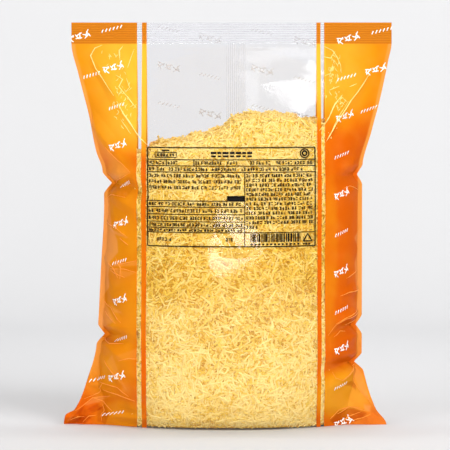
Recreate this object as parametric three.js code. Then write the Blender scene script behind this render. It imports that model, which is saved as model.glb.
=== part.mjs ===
// A two-kilogram pillow bag of shredded cheese, standing on its flattened bottom.
//
// The bag is a tube of clear film with printed side bands, welded flat across the top by a ribbed
// seal. It is sealed and full, so it is one solid. The shape is a stack of level sections. In each
// one a rounded body, which the cheese and the air fill, runs out at both sides into a thin flange,
// where the front and back of the film lie together. The flanges widen into an ear at each lower
// corner. The slack film is pinched in at the sides, and long creases run from the shoulders to the
// seal. A flat lengthwise seam runs down the back.
//
// Millimetres, +Z up. The front faces -Y, and the origin is on the floor under the middle of the
// bag's box. Places across the bag are first measured from the middle of the top seal.
import * as THREE from "three";

// Driving dimensions.
const FLAT_HALF_WIDTH = 150; // half of the film tube laid flat, as the top seal shows it
const HEIGHT = 378; // floor to top edge, as the bag stands
const SEAL_HEIGHT = 19; // ribbed weld across the top
const SEAL_RIBS = 9;
const RIB_HEIGHT = 0.35;
const FLANGE_HALF_THICKNESS = 0.7; // the layers lying together, half of them each side of the middle
const WINDOW_HALF_WIDTH = 87; // the printed side bands start this far from the middle
const WINDOW_SHARE = 0.6; // the most of a face that the window takes, where the bag is narrow
const SEAM_LEFT = -5; // the flat seam on the back, seen from the front
const SEAM_RIGHT = 13;
const SEAM_HEIGHT = 0.9;
const SEAM_STEP = 0.4; // width of the seam's sloping edge
const LUMP = { height: 0.9, across: 19, up: 24, bend: 31, skew: 47, fade: 30 }; // soft unevenness
const TOP_WAVE = { height: 2.5, length: 48, power: 3 }; // the seal's wave in depth
const FOLD_FADE = { top: 14, floor: 10 }; // folds and lumps fade out this close to the seal and the floor
const ROW_STEP = 7.6; // between level sections
const LEAST_ROW_STEP = 2.2;
const BASE_ROWS = [0, 2.2, 5, 9, 14, 20]; // closer sections round the turn of the base
const ARC_SAMPLES = 240;
const SEAL_BOTTOM = HEIGHT - SEAL_HEIGHT;

// Where the outline changes, as [height above the floor, size] from the floor up.
const LEFT_REACH = [[0, 158], [9, 156.5], [14, 148], [45, 135], [75, 127], [150, 122.5], [210, 119.5],
  [240, 121], [258, 127], [292, 133.8], [330, 143.5], [SEAL_BOTTOM, 150]];
const RIGHT_REACH = [[0, 146], [15, 136], [42, 126.5], [62, 122.5], [240, 122.5], [278, 131.7], [307, 139.3],
  [343, 147], [SEAL_BOTTOM, 150]];
const FRONT_DEPTH = [[0, 40], [10, 50.5], [40, 59.5], [120, 63], [220, 59], [275, 46.5], [320, 26.5],
  [350, 6], [SEAL_BOTTOM, FLANGE_HALF_THICKNESS]];
const BACK_DEPTH = [[0, 37], [10, 47.5], [40, 56], [120, 58.5], [220, 54], [275, 41.5], [320, 23],
  [350, 5], [SEAL_BOTTOM, FLANGE_HALF_THICKNESS]];
const FLANGE_WIDTH = [[0, 36], [20, 24], [45, 11], [65, 5], [220, 4], [270, 3]];
const SIDE_SHARPNESS = [[0, 1.3], [20, 0.92], [50, 0.72], [90, 0.64], [220, 0.64], [280, 0.78], [340, 1]];
const FACE_FLATNESS = [[0, 2.6], [60, 2.3], [220, 2.25], [SEAL_BOTTOM, 2]];
const LEAN = [[120, 0], [250, 3], [HEIGHT, 8]]; // how far the middle plane leans back

// Sharp inward kinks of the side edges: side, height above the floor, depth, and spread up and down.
const PINCHES = [
  { side: -1, z: 228, depth: 8, spread: 10 },
  { side: -1, z: 86, depth: 7, spread: 9 },
  { side: 1, z: 236, depth: 5, spread: 9 },
  { side: 1, z: 95, depth: 6, spread: 9 },
  { side: 1, z: 60, depth: 7.5, spread: 8 },
];
const PINCH_FALL_OFF = 6; // power with which a kink dies out from the edge towards the middle
const PINCH_POINT = 1.2; // above 1, the kink comes to a point
const PINCH_VALLEY = { length: 40, drop: 8, height: -4.2, halfWidth: 9 }; // the fold it sends over the face
const PINCH_RIDGE = { length: 32, rise: 10, height: 2.4, halfWidth: 8 }; // and the ridges above and below it

// Single creases of the slack film: x and z of both ends, how far it stands out, and half its width.
const CREASE_ENDS = { start: 0.35, growth: 2.5, decay: 1.6 }; // it starts part high and runs out to nothing
const CREASES = [
  [-131, 350, -86, 272, 3.4, 8], [-105, 354, -88, 302, 2.4, 7], [-136, 292, -96, 243, 3.4, 9],
  [127, 334, 87, 268, 3.4, 8], [108, 310, 88, 282, 2.2, 6], [104, 352, 96, 318, 2.2, 6],
  [-115, 192, -94, 178, 2.2, 7], [-120, 160, -100, 146, 2.6, 7], [-119, 118, -102, 104, -2.6, 8],
  [119, 129, 102, 125, 2.4, 7], [118, 108, 96, 98, 2.4, 7],
  [-138, 48, -104, 22, 3, 8], [-146, 22, -112, 34, -2.6, 8],
  [132, 16, 108, 8, -2.6, 8], [130, 44, 108, 30, 2.6, 8],
];

const clamp01 = (value) => Math.min(1, Math.max(0, value));

/** A smooth curve through [position, value] stations, which never overshoots them. */
function follow(stations, position) {
  const last = stations.length - 1;
  if (position <= stations[0][0]) return stations[0][1];
  if (position >= stations[last][0]) return stations[last][1];
  const slope = (i) => (stations[i + 1][1] - stations[i][1]) / (stations[i + 1][0] - stations[i][0]);
  const tangent = (i) => {
    if (i === 0 || i === last) return 0;
    const before = slope(i - 1);
    const after = slope(i);
    return before * after <= 0 ? 0 : (2 * before * after) / (before + after);
  };
  const i = stations.findIndex((station) => station[0] > position) - 1;
  const span = stations[i + 1][0] - stations[i][0];
  const t = (position - stations[i][0]) / span;
  const rise = stations[i + 1][1] - stations[i][1];
  return stations[i][1] + rise * t * t * (3 - 2 * t) +
    span * t * (1 - t) * (tangent(i) * (1 - t) - tangent(i + 1) * t);
}

/** Half width of the bag on one side, from the middle to the flange's edge, without its kinks. */
function reach(side, z) {
  return follow(side < 0 ? LEFT_REACH : RIGHT_REACH, z);
}

/** How far the side edge is pinched in at height z. */
function kink(side, z) {
  const depths = PINCHES.filter((pinch) => pinch.side === side)
    .map((pinch) => pinch.depth * clamp01(1 - Math.abs(z - pinch.z) / pinch.spread) ** PINCH_POINT);
  return Math.max(0, ...depths);
}

/** Distance from the middle plane to one face, at x and height z, before folds. */
function faceDepth(x, z, depths) {
  const body = reach(x < 0 ? -1 : 1, z) - follow(FLANGE_WIDTH, z);
  const across = Math.min(1, Math.abs(x) / body);
  const bulge = (1 - across ** follow(FACE_FLATNESS, z)) ** follow(SIDE_SHARPNESS, z);
  return FLANGE_HALF_THICKNESS + (follow(depths, z) - FLANGE_HALF_THICKNESS) * bulge;
}

/** How far one straight crease stands out at a point: a tent across it, fading towards its ends. */
function crease(x, z, [x0, z0, x1, z1, height, halfWidth]) {
  const along = clamp01(((x - x0) * (x1 - x0) + (z - z0) * (z1 - z0)) / ((x1 - x0) ** 2 + (z1 - z0) ** 2));
  const distance = Math.hypot(x - x0 - along * (x1 - x0), z - z0 - along * (z1 - z0));
  return height * clamp01(1 - distance / halfWidth) *
    Math.min(1, CREASE_ENDS.decay * (1 - along), CREASE_ENDS.start + CREASE_ENDS.growth * along);
}

/** The folds that each pinch sends inwards over the face: a valley, and a ridge above and below it. */
function pinchFolds() {
  return PINCHES.flatMap(({ side, z, depth, spread }) => {
    const strength = depth / PINCHES[0].depth;
    const edge = side * (reach(side, z) - depth);
    const inner = (length) => edge - side * length * strength;
    const { length, drop, height, halfWidth } = PINCH_VALLEY;
    const ridge = (way) => [edge, z + way * spread,
      inner(PINCH_RIDGE.length), z + way * (spread + PINCH_RIDGE.rise) - drop,
      PINCH_RIDGE.height * strength, PINCH_RIDGE.halfWidth];
    return [[edge, z, inner(length), z - drop, height * strength, halfWidth], ridge(-1), ridge(1)];
  });
}

const FOLDS = [...CREASES, ...pinchFolds()];

/** How far folds and lumps stand out of a face. The back has the front's folds, mirrored. */
function relief(x, z, isFront) {
  const mirrored = isFront ? x : -x;
  const folds = FOLDS.reduce((sum, fold) => sum + crease(mirrored, z, fold), 0);
  const lumps = LUMP.height * Math.sin(mirrored / LUMP.across + Math.sin(z / LUMP.bend)) *
    Math.sin(z / LUMP.up + mirrored / LUMP.skew) * clamp01(1 + (WINDOW_HALF_WIDTH - Math.abs(x)) / LUMP.fade);
  return (folds + lumps) * clamp01((SEAL_BOTTOM - z) / FOLD_FADE.top) * clamp01(z / FOLD_FADE.floor);
}

/** How far the lengthwise seam stands out of the back at x. */
function seam(x) {
  return SEAM_HEIGHT * clamp01(Math.min(x - SEAM_LEFT, SEAM_RIGHT - x) / SEAM_STEP);
}

/** How far the seal's ribs stand out at height z. */
function ribs(z) {
  const up = clamp01((z - SEAL_BOTTOM) / SEAL_HEIGHT);
  return RIB_HEIGHT * Math.abs(Math.sin(up * SEAL_RIBS * Math.PI));
}

/** Depth of the middle plane, where the flanges and the seal lie. */
function middlePlane(x, z) {
  return follow(LEAN, z) + TOP_WAVE.height * Math.sin(x / TOP_WAVE.length) * (z / HEIGHT) ** TOP_WAVE.power;
}

/** Points of one face along a level section, left to right, at the given places along the film. */
function facePoints(z, filmPlaces, isFront) {
  const depths = isFront ? FRONT_DEPTH : BACK_DEPTH;
  const towards = isFront ? -1 : 1;
  const outline = [];
  for (let i = 0; i <= ARC_SAMPLES; i++) {
    const swing = -Math.cos((i / ARC_SAMPLES) * Math.PI); // samples crowd where the sides turn
    const side = Math.sign(swing) || 1;
    const x = swing * reach(side, z);
    const pulledIn = side * kink(side, z) * Math.abs(swing) ** PINCH_FALL_OFF;
    outline.push(new THREE.Vector2(x - pulledIn, faceDepth(x, z, depths)));
  }
  const lengths = [0];
  for (let i = 1; i < outline.length; i++) {
    lengths.push(lengths[i - 1] + outline[i].distanceTo(outline[i - 1]));
  }
  const total = lengths[ARC_SAMPLES];
  const middle = lengths[ARC_SAMPLES / 2];

  const lengthAt = (film) => {
    const side = Math.sign(film) || 1;
    const sideLength = side < 0 ? middle : total - middle;
    const beyond = (Math.abs(film) - WINDOW_HALF_WIDTH) / (FLAT_HALF_WIDTH - WINDOW_HALF_WIDTH);
    const inner = Math.min(WINDOW_HALF_WIDTH, WINDOW_SHARE * sideLength);
    const inWindow = (Math.abs(film) / WINDOW_HALF_WIDTH) * inner;
    return middle + side * (beyond <= 0 ? inWindow : inner + beyond * (sideLength - inner));
  };

  return filmPlaces.map((film) => {
    const length = lengthAt(film);
    const i = Math.min(ARC_SAMPLES, Math.max(1, lengths.findIndex((value) => value >= length - 1e-9)));
    const t = clamp01((length - lengths[i - 1]) / (lengths[i] - lengths[i - 1]));
    const point = outline[i - 1].clone().lerp(outline[i], t);
    const tangent = outline[i].clone().sub(outline[i - 1]).normalize();
    const isEdge = Math.abs(film) === FLAT_HALF_WIDTH;
    const raised = isEdge ? 0 : relief(point.x, z, isFront) + ribs(z) + (isFront ? 0 : seam(film));
    const x = point.x - raised * tangent.y;
    const depth = Math.max(FLANGE_HALF_THICKNESS, point.y + raised * tangent.x);
    return [x, middlePlane(x, z) + towards * depth, z];
  });
}

/** Evenly spaced values from start to end, both included. */
function spaced(start, end, steps) {
  return Array.from({ length: steps + 1 }, (_, i) => start + ((end - start) * i) / steps);
}

/** Places along the film of the front's columns, closer together in the folded side bands. */
function frontPlaces() {
  return [...spaced(-FLAT_HALF_WIDTH, -WINDOW_HALF_WIDTH, 10),
    ...spaced(-WINDOW_HALF_WIDTH, WINDOW_HALF_WIDTH, 16).slice(1, -1),
    ...spaced(WINDOW_HALF_WIDTH, FLAT_HALF_WIDTH, 10)];
}

/** The same for the back, with columns at both edges of the seam. */
function backPlaces() {
  return [...spaced(-FLAT_HALF_WIDTH, -WINDOW_HALF_WIDTH, 8),
    ...spaced(-WINDOW_HALF_WIDTH, SEAM_LEFT, 6).slice(1), SEAM_LEFT + SEAM_STEP,
    SEAM_RIGHT - SEAM_STEP, ...spaced(SEAM_RIGHT, WINDOW_HALF_WIDTH, 5).slice(0, -1),
    ...spaced(WINDOW_HALF_WIDTH, FLAT_HALF_WIDTH, 8)];
}

/** Heights of the level sections: even steps, with a level wherever the outline turns sharply. */
function levels() {
  const placed = [...BASE_ROWS, ...spaced(SEAL_BOTTOM, HEIGHT, 2 * SEAL_RIBS),
    ...PINCHES.flatMap(({ z, spread }) => [z - spread, z, z + spread])];
  const lowest = BASE_ROWS.at(-1);
  for (const z of spaced(lowest, SEAL_BOTTOM, Math.round((SEAL_BOTTOM - lowest) / ROW_STEP))) {
    if (placed.every((other) => Math.abs(other - z) > LEAST_ROW_STEP)) placed.push(z);
  }
  return placed.sort((a, b) => a - b);
}

/** Colours of the print, one for each point: orange side bands, and the cheese between them. */
function printColours(front, back, rows) {
  const band = new THREE.Color("#ee7f16");
  const cheese = new THREE.Color("#f6cf6a");
  const colourAt = (film) => (Math.abs(film) >= WINDOW_HALF_WIDTH ? band : cheese).toArray();
  return Array(rows).fill([...front, ...back.toReversed()].flatMap(colourAt)).flat();
}

/** The bag's closed surface: rings of points up the bag, capped flat at the bottom and the top. */
function bagGeometry() {
  const front = frontPlaces();
  const back = backPlaces();
  const rings = levels().map((z) => [...facePoints(z, front, true), ...facePoints(z, back, false).reverse()]);
  const perRing = rings[0].length;
  const points = rings.flat();
  const apart = (a, b) => Math.hypot(...points[a].map((value, axis) => value - points[b][axis]));

  const faces = [];
  for (let row = 0; row + 1 < rings.length; row++) {
    for (let column = 0; column < perRing; column++) {
      const [a, b] = [row * perRing + column, row * perRing + ((column + 1) % perRing)];
      const [c, d] = [b + perRing, a + perRing];
      faces.push(...(apart(a, c) < apart(b, d) ? [a, b, c, a, c, d] : [a, b, d, b, c, d]));
    }
  }
  const cap = (ring, offset, isTop) => {
    const outline = ring.map(([x, y]) => new THREE.Vector2(x, y));
    for (const [a, b, c] of THREE.ShapeUtils.triangulateShape(outline, [])) {
      faces.push(offset + a, offset + (isTop ? b : c), offset + (isTop ? c : b));
    }
  };
  cap(rings[0], 0, false);
  cap(rings.at(-1), (rings.length - 1) * perRing, true);

  const geometry = new THREE.BufferGeometry();
  const colours = printColours(front, back, rings.length);
  geometry.setAttribute("position", new THREE.Float32BufferAttribute(points.flat(), 3));
  geometry.setAttribute("color", new THREE.Float32BufferAttribute(colours, 3));
  geometry.setIndex(faces);
  geometry.computeVertexNormals();
  geometry.computeBoundingBox();
  const centre = geometry.boundingBox.getCenter(new THREE.Vector3());
  return geometry.translate(-centre.x, -centre.y, 0);
}

const part = new THREE.Group();
const bag = new THREE.Mesh(bagGeometry(), new THREE.MeshStandardMaterial({
  vertexColors: true,
  roughness: 0.3, // smooth polyethylene film
  metalness: 0,
}));
bag.name = "bag";
part.add(bag);

export default part;
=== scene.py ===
"""A clear pillow bag of shredded cheese with printed side bands, standing on its flattened bottom.

Sizes are in millimetres, and MM turns them to metres where a mesh, a light or the camera is made. Places
across the bag are measured from the middle of its top seal. Wrapper.offset moves them into the shared
frame, whose origin is on the floor under the middle of the bag's box.
"""
import logging
import math
from dataclasses import dataclass, field
from enum import Enum

import bpy
import numpy as np
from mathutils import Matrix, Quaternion, Vector


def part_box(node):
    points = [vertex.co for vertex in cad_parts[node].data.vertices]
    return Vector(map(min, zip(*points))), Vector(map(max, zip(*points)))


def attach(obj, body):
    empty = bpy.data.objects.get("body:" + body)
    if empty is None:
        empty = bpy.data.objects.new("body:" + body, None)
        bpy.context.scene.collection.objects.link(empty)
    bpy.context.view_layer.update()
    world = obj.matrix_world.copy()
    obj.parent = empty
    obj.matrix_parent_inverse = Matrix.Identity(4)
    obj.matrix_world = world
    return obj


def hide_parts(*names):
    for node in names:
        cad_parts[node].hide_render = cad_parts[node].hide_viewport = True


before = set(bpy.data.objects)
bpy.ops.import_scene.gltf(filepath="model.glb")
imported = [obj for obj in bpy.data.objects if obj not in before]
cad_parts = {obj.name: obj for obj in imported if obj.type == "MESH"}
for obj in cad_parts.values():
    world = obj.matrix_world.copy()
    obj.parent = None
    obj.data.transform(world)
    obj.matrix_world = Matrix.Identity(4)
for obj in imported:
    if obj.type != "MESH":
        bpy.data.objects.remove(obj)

MM = 0.001
NODE = "bag"
BODY = "root"
Stations = tuple[tuple[float, float], ...]
Paths = tuple[Stations, ...]
HASH_PRIMES = (73856093, 19349663, 83492791)
HASH_ROUNDS = ((13, 1274126177), (15, 2246822519))
HASH_TOP = 0x7FFFFFFF
TINY = 1e-9
log = logging.getLogger("cheese_bag")


class Face(Enum):
    """The two faces of the bag, with the direction along Y in which each looks."""

    FRONT = -1
    BACK = 1


# ---------------------------------------------------------------------------------------- small tools


def smooth(values: np.ndarray, low: float, high: float) -> np.ndarray:
    """Rises smoothly from 0 at low to 1 at high.

    Args:
        values: any numbers.
        low: where the step starts.
        high: where it ends, which may be under low for a falling step.

    Returns:
        Numbers from 0 to 1, in the shape of values.
    """
    t = np.clip((values - low) / (high - low), 0, 1)
    return t * t * (3 - 2 * t)


def follow(stations: Stations, positions: np.ndarray) -> np.ndarray:
    """A smooth curve through stations, which never overshoots them.

    Args:
        stations: (position, value) pairs in rising order.
        positions: where to read the curve, held at its ends outside them.

    Returns:
        The values there.
    """
    at, value = np.array(stations, float).T
    slope = np.diff(value) / np.diff(at)
    before, after = slope[:-1], slope[1:]
    agree = before * after > 0
    tangent = np.zeros(len(at))
    tangent[1:-1] = np.where(agree, 2 * before * after / np.where(agree, before + after, 1), 0)
    x = np.clip(positions, at[0], at[-1])
    i = np.clip(np.searchsorted(at, x, side="right") - 1, 0, len(at) - 2)
    span = at[i + 1] - at[i]
    t = (x - at[i]) / span
    ends = tangent[i] * (1 - t) - tangent[i + 1] * t
    return value[i] + (value[i + 1] - value[i]) * t * t * (3 - 2 * t) + span * t * (1 - t) * ends


def hashed(i: np.ndarray, j: np.ndarray, seed: int) -> np.ndarray:
    """Repeatable random numbers from -1 to 1, one for each pair of whole numbers i, j."""
    first, second, third = HASH_PRIMES
    mixed = (i.astype(np.int64) * first) ^ (j.astype(np.int64) * second) ^ (seed * third)
    for shift, factor in HASH_ROUNDS:
        mixed = (mixed ^ (mixed >> shift)) * factor & HASH_TOP
    return mixed / (HASH_TOP // 2) - 1


def soft_noise(u: np.ndarray, v: np.ndarray, size: float, seed: int) -> np.ndarray:
    """Smooth value noise from -1 to 1 over the plane.

    Args:
        u: places across.
        v: places up.
        size: distance between its lattice points, in the unit of u and v.
        seed: which noise.

    Returns:
        The noise at those places.
    """
    i, j = np.floor(u / size), np.floor(v / size)
    s, t = smooth(u / size - i, 0, 1), smooth(v / size - j, 0, 1)
    low = hashed(i, j, seed) * (1 - s) + hashed(i + 1, j, seed) * s
    high = hashed(i, j + 1, seed) * (1 - s) + hashed(i + 1, j + 1, seed) * s
    return low * (1 - t) + high * t


def facets(u: np.ndarray, v: np.ndarray, size: float, seed: int) -> np.ndarray:
    """Crumpled film: flat triangular facets that meet in sharp, wandering creases.

    Args:
        u: places across.
        v: places up.
        size: width of a facet, in the unit of u and v.
        seed: which crumple.

    Returns:
        Heights from -1 to 1.
    """
    wander, wander_size = 0.45 * size, 1.7 * size
    a = (u + wander * soft_noise(u, v, wander_size, seed + 1)) / size
    b = (v + wander * soft_noise(u, v, wander_size, seed + 2)) / size
    i, j = np.floor(a), np.floor(b)
    s, t = a - i, b - j
    h00, h10 = hashed(i, j, seed), hashed(i + 1, j, seed)
    h01, h11 = hashed(i, j + 1, seed), hashed(i + 1, j + 1, seed)
    lower = h00 + s * (h10 - h00) + t * (h11 - h10)
    upper = h00 + t * (h01 - h00) + s * (h11 - h01)
    near = h00 + s * (h10 - h00) + t * (h01 - h00)
    far = h11 + (1 - s) * (h01 - h11) + (1 - t) * (h10 - h11)
    rising, falling = np.where(s > t, lower, upper), np.where(s + t < 1, near, far)
    return np.where(hashed(i, j, seed + 3) > 0, rising, falling)


def to_segment(
    x: np.ndarray, z: np.ndarray, start: np.ndarray, end: np.ndarray
) -> tuple[np.ndarray, np.ndarray]:
    """Distance from x, z to a straight segment, and the share of its length at which it is nearest."""
    run, climb = end[0] - start[0], end[1] - start[1]
    share = np.clip(((x - start[0]) * run + (z - start[1]) * climb) / (run**2 + climb**2), 0, 1)
    return np.hypot(x - start[0] - share * run, z - start[1] - share * climb), share


def mesh_object(
    name: str, points: np.ndarray, faces: list | np.ndarray, materials: list
) -> bpy.types.Object:
    """Makes a mesh object from points in millimetres, with smooth faces.

    Args:
        name: the piece's name.
        points: N places.
        faces: the corner numbers of each face.
        materials: what fills the object's material slots.

    Returns:
        The object, linked to the scene at the origin.
    """
    mesh = bpy.data.meshes.new(name)
    mesh.from_pydata((np.asarray(points) * MM).tolist(), [], [list(map(int, face)) for face in faces])
    mesh.shade_smooth()
    for material in materials:
        mesh.materials.append(material)
    made = bpy.data.objects.new(name, mesh)
    bpy.context.scene.collection.objects.link(made)
    return made


def put_attribute(mesh: bpy.types.Mesh, name: str, values: np.ndarray) -> None:
    """Stores one number for each point of a mesh, for materials and trees to read by name."""
    attribute = mesh.attributes.new(name, "FLOAT", "POINT")
    attribute.data.foreach_set("value", np.asarray(values, np.float32).ravel())


def grid_faces(rows: int, columns: int) -> np.ndarray:
    """Quads of a grid of points numbered row by row, turning anticlockwise as columns and rows rise."""
    corner = np.arange((rows - 1) * columns).reshape(rows - 1, columns)[:, :-1].ravel()
    return np.stack([corner, corner + 1, corner + columns + 1, corner + columns], 1)


def tube_faces(rows: int, columns: int) -> np.ndarray:
    """Quads of a tube whose rings are numbered one after another, from the bottom up."""
    index = np.arange(rows * columns).reshape(rows, columns)
    following = np.roll(index, -1, axis=1)
    return np.stack([index[:-1], following[:-1], following[1:], index[1:]], 2).reshape(-1, 4)


def add_node(tree: bpy.types.NodeTree, kind: str, settings: dict | None = None, inputs: dict | None = None):
    """Adds a node to a shader or geometry tree.

    Args:
        tree: the tree.
        kind: the node's type name.
        settings: its properties by name.
        inputs: its inputs by name or number, each a value, a socket, or a node for its first output.

    Returns:
        The node.
    """
    node = tree.nodes.new(kind)
    for name, value in (settings or {}).items():
        setattr(node, name, value)
    for key, value in (inputs or {}).items():
        if isinstance(value, bpy.types.Node):
            value = value.outputs[0]
        if isinstance(value, bpy.types.NodeSocket):
            tree.links.new(value, node.inputs[key])
        else:
            node.inputs[key].default_value = value
    return node


def empty_material(name: str) -> bpy.types.Material:
    """Makes a material whose tree has no nodes yet."""
    material = bpy.data.materials.new(name)
    material.use_nodes = True
    material.node_tree.nodes.clear()
    return material


def linear(hex_colour: str) -> tuple[float, float, float, float]:
    """Turns an sRGB colour such as "#f0a020" into linear red, green and blue, with alpha 1."""
    parts = [int(hex_colour[i : i + 2], 16) / 255 for i in (1, 3, 5)]
    return (*(c / 12.92 if c <= 0.04045 else ((c + 0.055) / 1.055) ** 2.4 for c in parts), 1.0)


# --------------------------------------------------------------------------------------- the bag's form


@dataclass(frozen=True)
class Pinch:
    """A sharp inward kink of a side edge, where the slack film buckles."""

    side: int
    height: float
    depth: float
    spread: float


@dataclass(frozen=True)
class Crease:
    """A straight fold of the film: a tent across it, which fades towards its ends."""

    x0: float
    z0: float
    x1: float
    z1: float
    height: float
    half_width: float
    start_share: float = 0.35
    start_rise: float = 2.5
    end_fall: float = 1.6

    def stands_out(self, x: np.ndarray, z: np.ndarray) -> np.ndarray:
        """How far the crease lifts the film at x, z."""
        distance, along = to_segment(x, z, (self.x0, self.z0), (self.x1, self.z1))
        fade = np.minimum(self.end_fall * (1 - along), self.start_share + self.start_rise * along)
        fade = np.minimum(1, fade)
        return self.height * np.clip(1 - distance / self.half_width, 0, 1) * fade


@dataclass(frozen=True)
class Wrinkle:
    """A thin rounded fold of slack film along a bent path, which tapers to nothing at both ends.

    Its crest, half as wide as crest says, is drawn as a pale line: partly stress-whitened film, partly a
    painted highlight.
    """

    path: tuple[tuple[float, float], ...]
    height: float = 0.6
    half_width: float = 2.0
    crest: float = 0.4
    taper: tuple[float, float] = (-0.02, 0.22)

    def stands_out(self, x: np.ndarray, z: np.ndarray) -> np.ndarray:
        """How far the wrinkle lifts the film at x, z."""
        points = np.array(self.path, float)
        low, high = points.min(0) - self.half_width, points.max(0) + self.half_width
        near = (x > low[0]) & (x < high[0]) & (z > low[1]) & (z < high[1])
        px, pz = x[near], z[near]
        nearest, along, start = np.full(px.shape, np.inf), np.zeros(px.shape), 0.0
        for a, b in zip(points, points[1:]):
            distance, share = to_segment(px, pz, a, b)
            length = math.dist(a, b)
            along = np.where(distance < nearest, start + share * length, along)
            nearest = np.minimum(nearest, distance)
            start += length
        pointed, full = self.taper
        taper = smooth(np.minimum(along, start - along), pointed * start, full * start)
        out = np.zeros_like(x)
        out[near] = self.height * taper * np.clip(1 - (nearest / self.half_width) ** 2, 0, 1) ** 2
        return out


@dataclass(frozen=True)
class PaintedLightFacet:
    """A flat facet of crumpled film: a polygon on a face, painted paler (1) as sheen or deeper (-1) as
    shade than its film.
    """

    corners: tuple[tuple[float, float], ...]
    tone: float
    edge: float = 0.8

    def shades(self, x: np.ndarray, z: np.ndarray) -> np.ndarray:
        """The facet's painted sheen or shade at x, z, which fades over its edge."""
        corners = np.array(self.corners, float)
        low, high = corners.min(0) - self.edge, corners.max(0) + self.edge
        near = (x > low[0]) & (x < high[0]) & (z > low[1]) & (z < high[1])
        px, pz = x[near], z[near]
        away, inside = np.full(px.shape, np.inf), np.zeros(px.shape, bool)
        for a, b in zip(corners, np.roll(corners, -1, axis=0)):
            away = np.minimum(away, to_segment(px, pz, a, b)[0])
            if a[1] != b[1]:
                crossing = a[0] + (pz - a[1]) / (b[1] - a[1]) * (b[0] - a[0])
                inside ^= ((a[1] > pz) != (b[1] > pz)) & (px < crossing)
        out = np.zeros_like(x)
        out[near] = self.tone * smooth(np.where(inside, away, -away), -self.edge, self.edge)
        return out


@dataclass(frozen=True)
class Patch:
    """A soft-edged oval on a face of the bag."""

    x: float
    z: float
    half_width: float
    half_height: float
    share: float
    outer_edge: float = 1.25
    inner_edge: float = 0.45

    def covers(self, x: np.ndarray, z: np.ndarray) -> np.ndarray:
        """How much of the patch's share there is at x, z."""
        away = np.hypot((x - self.x) / self.half_width, (z - self.z) / self.half_height)
        return self.share * smooth(away, self.outer_edge, self.inner_edge)


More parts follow.
